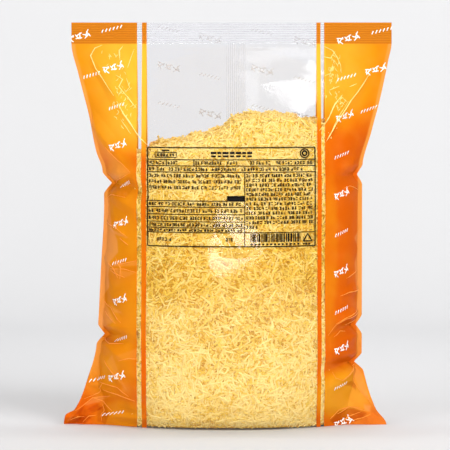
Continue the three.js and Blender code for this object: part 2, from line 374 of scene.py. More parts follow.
@dataclass(frozen=True)
class BagForm:
    """The bag's outer form: level sections, in each of which a rounded body runs out into flat flanges."""

    flat_half_width: float = 150
    height: float = 378
    seal_height: float = 19
    seal_ribs: int = 9
    rib_height: float = 0.35
    flange_half_thickness: float = 0.7
    window_half_width: float = 87
    seam_left: float = -5
    seam_right: float = 13
    seam_height: float = 0.5
    seam_step: float = 1.2
    arc_samples: int = 240
    kink_fall_off: float = 6
    kink_point: float = 1.2
    fold_fall: float = 8
    valley: tuple[float, float, float] = (40, -4.2, 9)
    ridge: tuple[float, float, float] = (32, 2.4, 8)
    ridge_flare: float = 10
    lump_height: float = 0.5
    lump_waves: tuple[float, float, float, float] = (19, 31, 24, 47)
    lump_fade: tuple[float, float] = (295, 260)
    lump_margin: float = 30
    relief_fades: tuple[float, float] = (14, 10)
    plane_sway: float = 2.5
    plane_wave: float = 48
    left_reach: Stations = (
        (0, 158), (9, 156.5), (14, 148), (45, 135), (75, 127), (150, 122.5), (210, 119.5), (240, 121),
        (258, 127), (292, 133.8), (330, 143.5), (359, 150),
    )
    right_reach: Stations = (
        (0, 146), (15, 136), (42, 126.5), (62, 122.5), (240, 122.5), (278, 131.7), (307, 139.3),
        (343, 147), (359, 150),
    )
    front_depth: Stations = (
        (0, 40), (10, 50.5), (40, 59.5), (120, 63), (220, 59), (275, 46.5), (320, 26.5), (350, 6),
        (359, 0.7),
    )
    back_depth: Stations = (
        (0, 37), (10, 47.5), (40, 56), (120, 58.5), (220, 54), (275, 41.5), (320, 23), (350, 5),
        (359, 0.7),
    )
    flange_width: Stations = ((0, 36), (20, 24), (45, 11), (65, 5), (220, 4), (270, 3))
    side_sharpness: Stations = (
        (0, 1.3), (20, 0.92), (50, 0.72), (90, 0.64), (220, 0.64), (280, 0.78), (340, 1),
    )
    face_flatness: Stations = ((0, 2.6), (60, 2.3), (220, 2.25), (359, 2))
    lean: Stations = ((120, 0), (250, 3), (378, 8))
    pinches: tuple[Pinch, ...] = (
        Pinch(-1, 228, 8, 10), Pinch(-1, 86, 7, 9), Pinch(1, 236, 5, 9), Pinch(1, 95, 6, 9),
        Pinch(1, 60, 7.5, 8),
    )
    creases: tuple[Crease, ...] = (
        Crease(-131, 350, -86, 272, 3.4, 8), Crease(-105, 354, -88, 302, 2.4, 7),
        Crease(-136, 292, -96, 243, 3.4, 9), Crease(127, 334, 87, 268, 3.4, 8),
        Crease(108, 310, 88, 282, 2.2, 6), Crease(104, 352, 96, 318, 2.2, 6),
        Crease(-115, 192, -94, 178, 2.2, 7), Crease(-120, 160, -100, 146, 2.6, 7),
        Crease(-119, 118, -102, 104, -2.6, 8), Crease(119, 129, 102, 125, 2.4, 7),
        Crease(118, 108, 96, 98, 2.4, 7), Crease(-138, 48, -104, 22, 3, 8),
        Crease(-146, 22, -112, 34, -2.6, 8), Crease(132, 16, 108, 8, -2.6, 8),
        Crease(130, 44, 108, 30, 2.6, 8),
    )

    @property
    def seal_bottom(self) -> float:
        """Height of the top seal's lower edge."""
        return self.height - self.seal_height

    def reach(self, side: np.ndarray, z: np.ndarray) -> np.ndarray:
        """Half width of the bag on one side at height z, without its kinks."""
        return np.where(side < 0, follow(self.left_reach, z), follow(self.right_reach, z))

    def kink(self, side: int, z: np.ndarray) -> np.ndarray:
        """How far a side edge is pinched in at height z."""
        pulls = [
            p.depth * np.clip(1 - np.abs(z - p.height) / p.spread, 0, 1) ** self.kink_point
            for p in self.pinches
            if p.side == side
        ]
        return np.maximum.reduce([np.zeros_like(z), *pulls])

    def face_depth(self, x: np.ndarray, z: np.ndarray, face: Face) -> np.ndarray:
        """Distance from the middle plane to one face at x and height z, before folds."""
        thickest = follow(self.front_depth if face is Face.FRONT else self.back_depth, z)
        body = self.reach(x, z) - follow(self.flange_width, z)
        across = np.minimum(1, np.abs(x) / body)
        bulge = (1 - across ** follow(self.face_flatness, z)) ** follow(self.side_sharpness, z)
        return self.flange_half_thickness + (thickest - self.flange_half_thickness) * bulge

    def pinch_folds(self) -> list[Crease]:
        """The folds each pinch sends inwards over the face: a valley, and a ridge above and below it."""
        folds, fall = [], self.fold_fall
        valley_length, valley_height, valley_width = self.valley
        ridge_length, ridge_height, ridge_width = self.ridge
        for p in self.pinches:
            strength = p.depth / self.pinches[0].depth
            edge = p.side * (float(self.reach(np.array(p.side), np.array(p.height))) - p.depth)
            valley_end = edge - p.side * valley_length * strength
            ridge_end = edge - p.side * ridge_length * strength
            folds.append(
                Crease(edge, p.height, valley_end, p.height - fall, valley_height * strength, valley_width)
            )
            for way in (-1, 1):
                start = p.height + way * p.spread
                end = p.height + way * (p.spread + self.ridge_flare) - fall
                folds.append(Crease(edge, start, ridge_end, end, ridge_height * strength, ridge_width))
        return folds

    def relief(self, x: np.ndarray, z: np.ndarray, face: Face) -> np.ndarray:
        """How far the large folds and the cheese's soft lumps stand out of a face."""
        mirrored = -face.value * x
        folds = sum(fold.stands_out(mirrored, z) for fold in (*self.creases, *self.pinch_folds()))
        across, bend, up, slant = self.lump_waves
        lumps = self.lump_height * np.sin(mirrored / across + np.sin(z / bend))
        lumps = lumps * np.sin(z / up + mirrored / slant) * smooth(z, *self.lump_fade)
        lumps = lumps * np.clip(1 + (self.window_half_width - np.abs(x)) / self.lump_margin, 0, 1)
        under_seal, over_base = self.relief_fades
        below_seal = np.clip((self.seal_bottom - z) / under_seal, 0, 1)
        return (folds + lumps) * below_seal * np.clip(z / over_base, 0, 1)

    def middle_plane(self, x: np.ndarray, z: np.ndarray) -> np.ndarray:
        """Depth of the plane in which the flanges and the seal lie."""
        return follow(self.lean, z) + self.plane_sway * np.sin(x / self.plane_wave) * (z / self.height) ** 3

    def section(self, z: float, face: Face) -> tuple[np.ndarray, np.ndarray, np.ndarray]:
        """One face's outline in a level section.

        Args:
            z: height of the section.
            face: which face.

        Returns:
            Samples of x, of the distance from the middle plane, and of the length along the outline.
        """
        swing = -np.cos(np.linspace(0, math.pi, self.arc_samples + 1))
        heights = np.full_like(swing, z)
        side = np.where(swing < 0, -1, 1)
        x = swing * self.reach(side, heights)
        kinks = np.where(side < 0, self.kink(-1, heights), self.kink(1, heights))
        depth = self.face_depth(x, heights, face)
        pulled = x - side * kinks * np.abs(swing) ** self.kink_fall_off
        return pulled, depth, np.concatenate([[0], np.cumsum(np.hypot(np.diff(pulled), np.diff(depth)))])

    def along(self, film: np.ndarray, xs: np.ndarray, lengths: np.ndarray) -> np.ndarray:
        """Where places across the flat film come on a section's outline, as lengths along it.

        The window stands as wide as it lies flat, and the bands take up the rest of the outline.

        Args:
            film: places across the flat film.
            xs: the outline's samples of x.
            lengths: the lengths along it at those samples.

        Returns:
            The lengths.
        """
        half = self.window_half_width
        left, right = np.interp((-half, half), xs, lengths)
        beyond = (np.abs(film) - half) / (self.flat_half_width - half)
        in_band = np.where(film < 0, left * (1 - beyond), right + beyond * (lengths[-1] - right))
        return np.where(beyond <= 0, np.interp(film, xs, lengths), in_band)


@dataclass(frozen=True)
class FilmDetail:
    """What is finer than the large folds: facets, thin wrinkles, bent ears, and the ribs of both seams."""

    seam_ribs: int = 9
    seam_rib_height: float = 0.22
    coarse_size: float = 17
    coarse_height: float = 0.85
    fine_size: float = 6.5
    fine_height: float = 0.2
    squash: float = 0.8
    ear_height: float = 42
    ear_sway: float = 6
    ear_size: float = 8
    right_ear_share: float = 0.35
    flange_sway: float = 1.2
    flange_size: float = 17
    flange_stretch: float = 0.2
    still_below_seal: float = 30
    # Strength of the painted sheen and shade that the crumple lays on its facets.
    crumple_sheen_and_shade: float = 0.22
    crumple_size: float = 9
    band_slack: float = 0.3
    band_edge: tuple[float, float] = (86, 100)
    slack: tuple[Patch, ...] = (
        Patch(-104, 318, 22, 26, 0.5), Patch(100, 330, 20, 28, 0.5), Patch(-112, 30, 38, 30, 1.0),
        Patch(118, 12, 28, 16, 0.9), Patch(112, 120, 16, 30, 0.8), Patch(-114, 130, 14, 60, 0.6),
        Patch(-118, 228, 26, 22, 0.9), Patch(118, 240, 22, 20, 0.8), Patch(118, 60, 18, 14, 0.8),
    )
    shoulder_wrinkles: tuple[Wrinkle, ...] = (
        Wrinkle(((-121, 357), (-128, 354), (-132, 347), (-127, 335), (-120, 325), (-115, 317),
        (-110, 310)), 0.6, 2.0, 0.6),
        Wrinkle(((-107, 305), (-100.3, 293), (-92, 281.7), (-84.9, 271.5), (-78, 265)), 1.0, 2.4, 0.8),
        Wrinkle(((-101.7, 356), (-105, 351.8), (-104.3, 343)), 0.6, 2.0, 0.6), Wrinkle(((-108, 329),
        (-101.7, 325.3), (-105.2, 318.4), (-100.4, 312.7), (-96.9, 309), (-89, 299)), 0.6, 2.0, 0.65),
        Wrinkle(((-90.9, 353.3), (-93.8, 345.9), (-97.2, 335.6))),
        Wrinkle(((-103, 288), (-93.4, 274.7)), 0.5),
        Wrinkle(((-98, 326), (-95, 318), (-99, 313)), 0.45, 1.6), Wrinkle(((130, 331), (123.7, 321.4),
        (117.7, 313), (111.5, 305.7), (105.8, 296.6), (97, 284)), 0.8, 2.0, 0.6),
        Wrinkle(((99, 287), (95.1, 280.4), (88, 268)), 0.9, 2.2, 0.65),
        Wrinkle(((103.5, 310.6), (96.4, 302.4), (90.5, 289.8), (81.5, 278)), 0.9, 2.0, 0.65),
        Wrinkle(((109, 305), (101.1, 293), (90.5, 272)), 0.6),
        Wrinkle(((86, 356), (94.6, 351.8), (98.6, 345.9), (102, 338.1), (102.6, 331)), 0.8),
        Wrinkle(((86, 346), (92.7, 344.7), (97, 351)), 0.7), Wrinkle(((86, 328), (93.5, 331)), 0.6),
        Wrinkle(((94.4, 338.2), (90.8, 326.6)), 0.5, 1.6), Wrinkle(((110, 318), (117, 321)), 0.5, 1.6),
        Wrinkle(((91, 315), (101, 319)), 0.5, 1.6),
        Wrinkle(((-138, 371), (-120, 365), (-102, 359)), 0.35, 1.6, 0),
        Wrinkle(((-130, 365), (-116, 362), (-100, 357)), 0.4, 1.6, 0),
    )
    band_wrinkles: tuple[Wrinkle, ...] = (
        Wrinkle(((-115, 154), (-110, 149), (-106, 141)), 0.8),
        Wrinkle(((-108, 160), (-103, 150), (-104, 140)), 0.6),
        Wrinkle(((-120, 117), (-113, 112), (-103, 99)), 1.0, 2.6), Wrinkle(((-118, 108), (-108, 98)), 0.7),
        Wrinkle(((-117, 192), (-108, 188), (-98, 180)), 0.9, 2.6), Wrinkle(((-104, 178), (-96, 172)), 0.5),
        Wrinkle(((119, 128), (110, 127), (101, 124)), 0.9, 2.4),
        Wrinkle(((118, 110), (108, 104), (97, 98)), 0.9, 2.4), Wrinkle(((116, 100), (106, 96)), 0.6),
        Wrinkle(((117, 146), (107, 140)), 0.5),
    )
    base_wrinkles: tuple[Wrinkle, ...] = (
        Wrinkle(((93.4, 53), (96.9, 47.1), (104, 44.4), (112, 50.6), (116.3, 58)), 0.9, 3),
        Wrinkle(((99, 11), (110, 17), (122, 16)), 1.0, 3),
        Wrinkle(((113, 4), (122, 6), (131, 10)), -1.2, 3.5),
        Wrinkle(((-138.3, 24.4), (-125.2, 30), (-121, 40)), 0.9, 2.6),
        Wrinkle(((-124, 41), (-107, 38), (-96, 30)), 0.8, 2.4),
        Wrinkle(((-121, 34), (-107, 31), (-90, 26)), 0.7, 2.2),
        Wrinkle(((-119, 62), (-112, 52), (-104, 44)), 0.6, 2.6),
    )
    window_ripples: tuple[Wrinkle, ...] = (
        Wrinkle(((42, 243), (46, 236), (52.1, 219)), 0.6, 3),
        Wrinkle(((-12, 189), (-4, 178), (3.3, 165)), 0.7, 3.2),
        Wrinkle(((70, 250), (73, 244), (77, 238)), 0.5, 2),
        Wrinkle(((79.3, 259), (80.5, 250), (81.1, 239)), 0.5, 1.8),
        Wrinkle(((-14, 168), (6, 166), (24, 171)), 0.4, 3.5),
        Wrinkle(((8, 219), (20, 206), (30, 200)), 0.35, 3),
    )
    # Painted sheen (positive tone) and painted shade (negative tone) on flat facets of the crumpled film.
    facets: tuple[PaintedLightFacet, ...] = (
        PaintedLightFacet(((-132.4, 281.5), (-118.4, 261.9), (-94.1, 239.5), (-114.3, 226.9), (-124.7, 242.5),
        (-130.7, 264.6)), 0.3),
        PaintedLightFacet(((-114.6, 225.4), (-92.4, 237.4), (-89.5, 226.4), (-98.1, 215.6), (-112.6, 217.3)), -0.15),
        PaintedLightFacet(((-119.5, 212.8), (-114.6, 214.2), (-113.6, 199.3), (-111.6, 186.4), (-106.7, 175.7),
        (-105.8, 164.5), (-113.6, 155.3), (-115.6, 142.8), (-114.6, 130.8), (-122.3, 119.1),
        (-123.8, 106.9), (-119.5, 98.4), (-123.3, 90), (-126.1, 88.1), (-125.2, 123.8), (-121.4, 172.5)),
        0.6), PaintedLightFacet(((-114.6, 187), (-94.2, 177.9), (-108.7, 181.1)), 0.5),
        PaintedLightFacet(((-116.1, 115.5), (-100.9, 107.7), (-109.6, 107.9)), 0.45), PaintedLightFacet(((-120.5, 118.7),
        (-115.6, 110.9), (-109.7, 99.5), (-116.7, 95.7), (-123, 89.8), (-123.3, 106.9)), 0.45),
        PaintedLightFacet(((-117.1, 60.9), (-111.6, 68.3), (-97.9, 35.9), (-105.7, 43.7)), 0.25),
        PaintedLightFacet(((-108.7, 67.7), (-87.6, 76.6), (-87.6, 66.3), (-105.8, 63.2)), 0.15),
        PaintedLightFacet(((-114.6, 150.5), (-87.6, 158.2), (-87.6, 153.5)), 0.25),
        PaintedLightFacet(((-113.6, 148.7), (-88.5, 146.9), (-99, 141.6)), 0.2),
        PaintedLightFacet(((-113.6, 149.7), (-87.6, 152.6), (-88.5, 147.8)), -0.2),
        PaintedLightFacet(((-126.1, 87.2), (-120.5, 82.5), (-113.6, 78.4), (-100, 79.6), (-113.6, 82.2)), -0.3),
        PaintedLightFacet(((-155.2, 0), (-146.7, 11.2), (-138.3, 18.8), (-142, 9.4), (-132.2, 6.5), (-137.9, 0.6)),
        -0.6),
        PaintedLightFacet(((-148.6, 12.2), (-130.8, 25.3), (-113.2, 28.7), (-124.6, 21.5), (-138.3, 17.8)), 0.35),
        PaintedLightFacet(((-126.4, 14.2), (-118.8, 20.1), (-114.9, 11.1), (-118.8, 0.5), (-126.4, 3)), -0.45),
        PaintedLightFacet(((-155.2, 3.8), (-147.7, 10.3), (-142, 7.5), (-151.4, 0.9)), 0.3),
        PaintedLightFacet(((-136.3, 15.1), (-125.6, 19.7), (-121.6, 15.4), (-130.3, 11.2)), -0.5),
        PaintedLightFacet(((120.9, 186.6), (115, 177), (118.8, 166.9), (115.5, 154.1), (116.7, 132.3), (119.3, 120.6),
        (116.7, 109.1), (117.7, 94.1), (121.4, 105), (122.3, 125.6), (122.3, 181.9)), 0.5),
        PaintedLightFacet(((89.5, 89.6), (107.7, 101.5), (118.6, 105.9), (117.7, 99.4), (100.9, 95.5), (91.4, 86.7)),
        -0.2), PaintedLightFacet(((92.3, 84.8), (105.7, 94.2), (117.7, 89.1), (122.3, 74.1), (120.5, 60),
        (105.8, 52.9), (94.2, 60.3)), -0.12), PaintedLightFacet(((117.7, 54.4), (122.3, 48.8), (130.6, 21.9),
        (140.1, 8.6), (133.5, 19), (121.9, 30.7), (112.6, 53.2)), 0.4), PaintedLightFacet(((92.3, 5.1), (100.7, 13.5),
        (112.1, 15.8), (128.3, 11.3), (121.6, 5.1), (110.3, 0.7), (97.1, 1.1)), -0.6),
        PaintedLightFacet(((124.6, 18.8), (131.4, 18.3), (130.3, 12.1), (125.5, 13.3)), 0.6),
        PaintedLightFacet(((105.6, 39.2), (112.4, 42.3), (117.2, 38.3), (117.1, 32.9), (112.3, 36.9)), -0.5),
        PaintedLightFacet(((139.2, 308.4), (131.7, 275.6), (126.1, 256.9), (128, 247.5), (133.6, 270.9)), 0.3),
    )

    def tone(self, x: np.ndarray, z: np.ndarray, face: Face) -> np.ndarray:
        """How much paler (to 1) or deeper (to -1) the film is at x, z than round its crumpled spots:
        painted sheen and painted shade of its facets and its crumple.
        """
        mirrored = -face.value * x
        crumple = self.crumple_sheen_and_shade * self.looseness(mirrored, z) * facets(
            mirrored, z, self.crumple_size, 31 + face.value
        )
        return np.clip(sum(facet.shades(mirrored, z) for facet in self.facets) + crumple, -1, 1)

    def looseness(self, x: np.ndarray, z: np.ndarray) -> np.ndarray:
        """How slack the film is at x, z, from 0 where the fill holds it taut to 1."""
        spots = [patch.covers(x, z) for patch in self.slack]
        bands = self.band_slack * smooth(np.abs(x), *self.band_edge)
        return np.clip(np.maximum.reduce([bands, *spots]), 0, 1)

    def raised(
        self, form: BagForm, film: np.ndarray, x: np.ndarray, z: np.ndarray, face: Face
    ) -> np.ndarray:
        """How far the fine detail stands out of the film.

        Args:
            form: the bag's form.
            film: places across the flat film.
            x: the same places on the standing bag.
            z: heights.
            face: which face.

        Returns:
            Distances out of the film.
        """
        seed = 10 if face is Face.FRONT else 40
        mirrored = -face.value * x
        loose = self.looseness(mirrored, z)
        out = loose * self.coarse_height * facets(film, self.squash * z, self.coarse_size, seed)
        out += loose * self.fine_height * facets(film, z, self.fine_size, seed + 5)
        for group in (self.shoulder_wrinkles, self.band_wrinkles, self.base_wrinkles, self.window_ripples):
            out += sum(wrinkle.stands_out(mirrored, z) for wrinkle in group)
        out *= smooth(z, 0, 4)
        up = np.clip((z - form.seal_bottom) / form.seal_height, 0, 1)
        out += form.rib_height * np.abs(np.sin(up * form.seal_ribs * math.pi))
        if face is Face.BACK:
            inside = smooth(np.minimum(film - form.seam_left, form.seam_right - film), 0, form.seam_step)
            across = (film - form.seam_left) / (form.seam_right - form.seam_left)
            ribs = self.seam_rib_height * np.abs(np.sin(across * self.seam_ribs * math.pi))
            out += inside * (form.seam_height + ribs)
        return out

    def sway(self, form: BagForm, x: np.ndarray, z: np.ndarray) -> np.ndarray:
        """How far the thin flanges and ears bend out of their plane, both faces together."""
        outer = smooth(form.reach(x, z) - np.abs(x), follow(form.flange_width, z) + 4, 2)
        low = smooth(z, self.ear_height, 6) * np.where(x < 0, 1, self.right_ear_share)
        bends = self.ear_sway * low * facets(x, z, self.ear_size, 90)
        bends = bends + self.flange_sway * soft_noise(x * self.flange_stretch, z, self.flange_size, 91)
        return outer * bends * smooth(z, form.seal_bottom, form.seal_bottom - self.still_below_seal)


@dataclass
class FilmSurface:
    """One face of the film as a fine grid of points, on which print, film and shreds are placed."""

    form: BagForm
    detail: FilmDetail
    face: Face
    film: np.ndarray
    heights: np.ndarray
    points: np.ndarray = field(init=False)
    normals: np.ndarray = field(init=False)

    def __post_init__(self) -> None:
        """Works the grid out: the level sections first, then what stands out of them."""
        form = self.form
        x, depth, run, fall = (np.array(part) for part in zip(*(self._row(z) for z in self.heights)))
        z = np.tile(self.heights[:, None], (1, len(self.film)))
        film = np.tile(self.film, (len(self.heights), 1))
        raised = form.relief(x, z, self.face) + self.detail.raised(form, film, x, z, self.face)
        raised = np.where(np.isclose(np.abs(film), form.flat_half_width), 0, raised)
        depth = np.maximum(form.flange_half_thickness, depth + raised * run)
        plane = form.middle_plane(x, z) + self.detail.sway(form, x, z)
        self.points = np.stack([x - raised * fall, plane + self.face.value * depth, z], 2)
        across, up = np.gradient(self.points, axis=1), np.gradient(self.points, axis=0)
        normals = np.cross(across, up) * -self.face.value
        self.normals = normals / np.maximum(np.linalg.norm(normals, axis=2, keepdims=True), TINY)

    def _row(self, z: float) -> tuple[np.ndarray, np.ndarray, np.ndarray, np.ndarray]:
        """One level section: x, distance from the middle plane, and the film's direction there."""
        xs, depths, lengths = self.form.section(z, self.face)
        at = self.form.along(self.film, xs, lengths)
        step = 0.6
        run = np.interp(at + step, lengths, xs) - np.interp(at - step, lengths, xs)
        fall = np.interp(at + step, lengths, depths) - np.interp(at - step, lengths, depths)
        size = np.maximum(np.hypot(run, fall), 1e-6)
        return np.interp(at, lengths, xs), np.interp(at, lengths, depths), run / size, fall / size

    def place(self, film: np.ndarray, z: np.ndarray, lift: float) -> np.ndarray:
        """Places on the film, lifted off it.

        Args:
            film: places across the flat film.
            z: heights.
            lift: distance out of the film, negative towards the inside.

        Returns:
            The points, in the shape of film with a last axis of three.
        """
        i = np.clip(np.searchsorted(self.heights, z) - 1, 0, len(self.heights) - 2)
        j = np.clip(np.searchsorted(self.film, film) - 1, 0, len(self.film) - 2)
        t = np.clip((z - self.heights[i]) / (self.heights[i + 1] - self.heights[i]), 0, 1)[..., None]
        s = np.clip((film - self.film[j]) / (self.film[j + 1] - self.film[j]), 0, 1)[..., None]

        def read(grid: np.ndarray) -> np.ndarray:
            """Reads a grid between its four nearest points."""
            low = grid[i, j] * (1 - s) + grid[i, j + 1] * s
            high = grid[i + 1, j] * (1 - s) + grid[i + 1, j + 1] * s
            return low * (1 - t) + high * t

        return read(self.points) + read(self.normals) * lift

    def film_at(self, x: np.ndarray, z: np.ndarray) -> np.ndarray:
        """The places across the flat film that stand at x, z."""
        rows = np.clip(np.searchsorted(self.heights, z), 0, len(self.heights) - 1)
        spread = np.maximum.accumulate(self.points[..., 0], axis=1)
        return np.array([np.interp(at, spread[row], self.film) for at, row in zip(x, rows)])

    def depth_map(self, xs: np.ndarray, zs: np.ndarray) -> np.ndarray:
        """The film's y over a regular grid of x and z, seen straight on."""
        per_row = np.array([
            np.interp(xs, np.maximum.accumulate(row[:, 0]), row[:, 1]) for row in self.points
        ])
        return np.array([np.interp(zs, self.heights, column) for column in per_row.T]).T


@dataclass(frozen=True)
class Fill:
    """How high the cheese stands in the bag, and where air pockets keep it off the film. The pockets only
    add painted backlight glow to the film.
    """

    line: Stations = (
        (-140, 245), (-100, 253), (-79, 257), (-64, 262), (-41, 267), (-23, 269.5), (-16, 274), (-1, 281),
        (8, 286), (30, 289.5), (50, 288), (79, 283.5), (120, 278), (140, 274),
    )
    crown: float = 5
    uneven: tuple[tuple[float, float, float], ...] = ((1.2, 6.1, 0), (0.8, 2.9, 1))
    # These set how the film's painted backlight glow fades in above the fill line, thins at the edges and
    # on the right band, and rises in the pockets.
    bed_edge: tuple[float, float] = (0.7, 0.99)
    backlight_fade: tuple[float, float] = (-12, 34)
    cheese_at_edge: float = 0.62
    right_band_start: float = 88
    right_band_backlight: float = 0.72
    pockets: tuple[Patch, ...] = (
        Patch(106, 30, 30, 26, 0.62), Patch(-102, 150, 22, 150, 0.3), Patch(-118, 55, 24, 40, 0.3),
        Patch(-100, 205, 14, 22, 0.1), Patch(92, 160, 8, 90, 0.14), Patch(-104, 12, 26, 18, 0.3),
    )

    def top(self, x: np.ndarray) -> np.ndarray:
        """Height of the cheese where it meets the film at x."""
        level = follow(self.line, x)
        for height, wave, shift in self.uneven:
            level = level + height * np.sin(x / wave + shift)
        return level

    def painted_backlight_share(self, form: BagForm, x: np.ndarray, z: np.ndarray) -> np.ndarray:
        """How much painted backlight glow the film gets at x, z, from 0 over the cheese to 1 where only air
        is behind it.
        """
        inner, rim = (share * form.reach(x, z) for share in self.bed_edge)
        air = 1 - self.cheese_at_edge * smooth(np.abs(x), inner, rim)
        thinned = np.where(x > self.right_band_start, self.right_band_backlight, 1)
        above = smooth(z - self.top(x), *self.backlight_fade) * air * thinned
        return np.maximum.reduce([above, *(pocket.covers(x, z) for pocket in self.pockets)])


# ------------------------------------------------------------------------------------------- finishes


@dataclass(frozen=True)
class PrintedFilm:
    """Polyethylene film, flexographically printed on its inside with orange ink.

    Its colour paints the light that passes the ink: a painted yellow glow where air is behind it, deep
    orange over the cheese, and a paler painted glow on the flanges. Where it is crumpled it is painted
    paler as sheen and deeper as shade.
    """

    # air, middle and cheese paint the backlight: a yellow glow where only air is behind the film, deep
    # orange over the cheese. flange paints the flanges' paler glow; pale and deep paint the facets' sheen
    # and shade.
    air: str = "#eaad31"
    middle: str = "#de8c13"
    cheese: str = "#d4600a"
    flange: str = "#e2943e"
    pale: str = "#ea9c52"
    deep: str = "#a83604"
    weld: str = "#c87a1c"
    groove: str = "#a8560c"
    roughness: float = 0.24
    see_through: float = 0.05
    glow: float = 0.25
    cloud_scale: float = 38.0
    cloud_spread: float = 0.3
    middle_at: float = 0.35
    groove_rib: float = 0.7
    groove_cover: float = 0.6
    buckle_scale: float = 170.0
    buckle_strength: float = 0.5

    def make(self) -> bpy.types.Material:
        """Builds the material, which reads what the film's mesh stores for it."""
        material = empty_material("printed_polyethylene_film")
        tree = material.node_tree
        share, weld, flange, loose, tone, rib = (
            add_node(tree, "ShaderNodeAttribute", {"attribute_name": name}).outputs["Fac"]
            for name in ("air", "weld", "flange", "loose", "tone", "rib")
        )
        place = add_node(tree, "ShaderNodeTexCoord").outputs["Object"]
        cloud = add_node(tree, "ShaderNodeTexNoise", {}, {
            "Vector": place, "Scale": self.cloud_scale, "Detail": 3.0,
        })
        spread = add_node(tree, "ShaderNodeMath", {"operation": "MULTIPLY_ADD"}, {
            0: cloud.outputs["Fac"], 1: self.cloud_spread, 2: -self.cloud_spread / 2,
        })
        shade = add_node(tree, "ShaderNodeMath", {"operation": "ADD", "use_clamp": True}, {
            0: share, 1: spread,
        })
        # The ramp paints the backlight glow by the air share: yellow where air is behind the film, deep
        # orange over the cheese.
        ramp = add_node(tree, "ShaderNodeValToRGB", {}, {0: shade})
        ramp.color_ramp.elements[0].color = linear(self.cheese)
        ramp.color_ramp.elements[1].color = linear(self.air)
        ramp.color_ramp.elements.new(self.middle_at).color = linear(self.middle)

        # paler and deeper paint the facets' sheen and shade.
        paler = add_node(tree, "ShaderNodeMapRange", {}, {0: tone, 1: 0.0, 2: 1.0})
        deeper = add_node(tree, "ShaderNodeMapRange", {}, {0: tone, 1: 0.0, 2: -1.0})
        groove = add_node(tree, "ShaderNodeMapRange", {}, {
            0: rib, 1: self.groove_rib, 2: 0.0, 3: 0.0, 4: self.groove_cover,
        })
        in_seal = add_node(tree, "ShaderNodeMath", {"operation": "MULTIPLY"}, {0: groove, 1: weld})
        # Over it: the flanges' painted glow, the facets' painted sheen and shade, then the weld and its
        # grooves.
        colour = ramp
        for cover, over in (
            (flange, self.flange), (paler, self.pale), (deeper, self.deep),
            (weld, self.weld), (in_seal, self.groove),
        ):
            colour = add_node(tree, "ShaderNodeMix", {"data_type": "RGBA"}, {
                0: cover, 6: colour, 7: linear(over),
            }).outputs[2]

        wave = add_node(tree, "ShaderNodeTexNoise", {}, {
            "Vector": place, "Scale": self.buckle_scale, "Detail": 2.0,
        }).outputs["Fac"]
        buckle = add_node(tree, "ShaderNodeMath", {"operation": "MULTIPLY"}, {0: wave, 1: loose})
        bump = add_node(tree, "ShaderNodeBump", {}, {
            "Height": buckle, "Strength": self.buckle_strength, "Distance": 0.002,
        })
        coat = add_node(tree, "ShaderNodeBsdfPrincipled", {}, {
            "Base Color": colour, "Roughness": self.roughness, "IOR": 1.45,
            "Specular IOR Level": 0.06, "Normal": bump,
        })
        glow = add_node(tree, "ShaderNodeBsdfTranslucent", {}, {"Color": colour, "Normal": bump})
        lit = add_node(tree, "ShaderNodeMixShader", {}, {0: self.glow, 1: coat, 2: glow})
        clear = add_node(tree, "ShaderNodeBsdfTransparent", {}, {"Color": linear("#ffae3a")})
        done = add_node(tree, "ShaderNodeMixShader", {}, {0: self.see_through, 1: lit, 2: clear})
        add_node(tree, "ShaderNodeOutputMaterial", {}, {"Surface": done})
        return material


@dataclass(frozen=True)
class ClearFilm:
    """Clear blown polyethylene film: a gloss over a very faint milky haze, denser in a weld's grooves."""

    name: str = "clear_polyethylene_film"
    haze: float = 0.015
    groove_haze: float = 0.0
    gloss_roughness: float = 0.09
    gloss: float = 0.04
    ripple: float = 0.08
    ripple_scale: float = 110.0
    index: float = 1.5
    rim_share: float = 0.8
    facing_loss: float = 0.032

    def make(self) -> bpy.types.Material:
        """Builds the material."""
        material = empty_material(self.name)
        tree = material.node_tree
        place = add_node(tree, "ShaderNodeTexCoord").outputs["Object"]
        rib = add_node(tree, "ShaderNodeAttribute", {"attribute_name": "rib"}).outputs["Fac"]
        ripple = add_node(tree, "ShaderNodeTexNoise", {}, {
            "Vector": place, "Scale": self.ripple_scale, "Detail": 2.0,
        })
        bump = add_node(tree, "ShaderNodeBump", {}, {
            "Height": ripple.outputs["Fac"], "Strength": self.ripple, "Distance": 0.001,
        })
        clear = add_node(tree, "ShaderNodeBsdfTransparent", {}, {"Color": linear("#fdfdfe")})
        milk = add_node(tree, "ShaderNodeBsdfDiffuse", {}, {"Color": linear("#b4b4ba")})
        gloss = add_node(tree, "ShaderNodeBsdfGlossy", {}, {
            "Color": linear("#ffffff"), "Roughness": self.gloss_roughness, "Normal": bump,
        })
        inside = add_node(tree, "ShaderNodeNewGeometry").outputs["Backfacing"]
        index = add_node(tree, "ShaderNodeMath", {"operation": "MULTIPLY_ADD"}, {
            0: inside, 1: 1 / self.index - self.index, 2: self.index,
        })
        rim = add_node(tree, "ShaderNodeFresnel", {}, {"IOR": index, "Normal": bump})
        strength = add_node(tree, "ShaderNodeMath", {"operation": "MULTIPLY_ADD"}, {
            0: rim, 1: self.rim_share, 2: self.gloss - self.facing_loss,
        })
        haze = add_node(tree, "ShaderNodeMapRange", {}, {
            0: rib, 1: 0.8, 2: 0.0, 3: self.haze, 4: self.haze + self.groove_haze,
        })
        base = add_node(tree, "ShaderNodeMixShader", {}, {0: haze, 1: clear, 2: milk})
        done = add_node(tree, "ShaderNodeMixShader", {}, {0: strength, 1: base, 2: gloss})
        add_node(tree, "ShaderNodeOutputMaterial", {}, {"Surface": done})
        return material


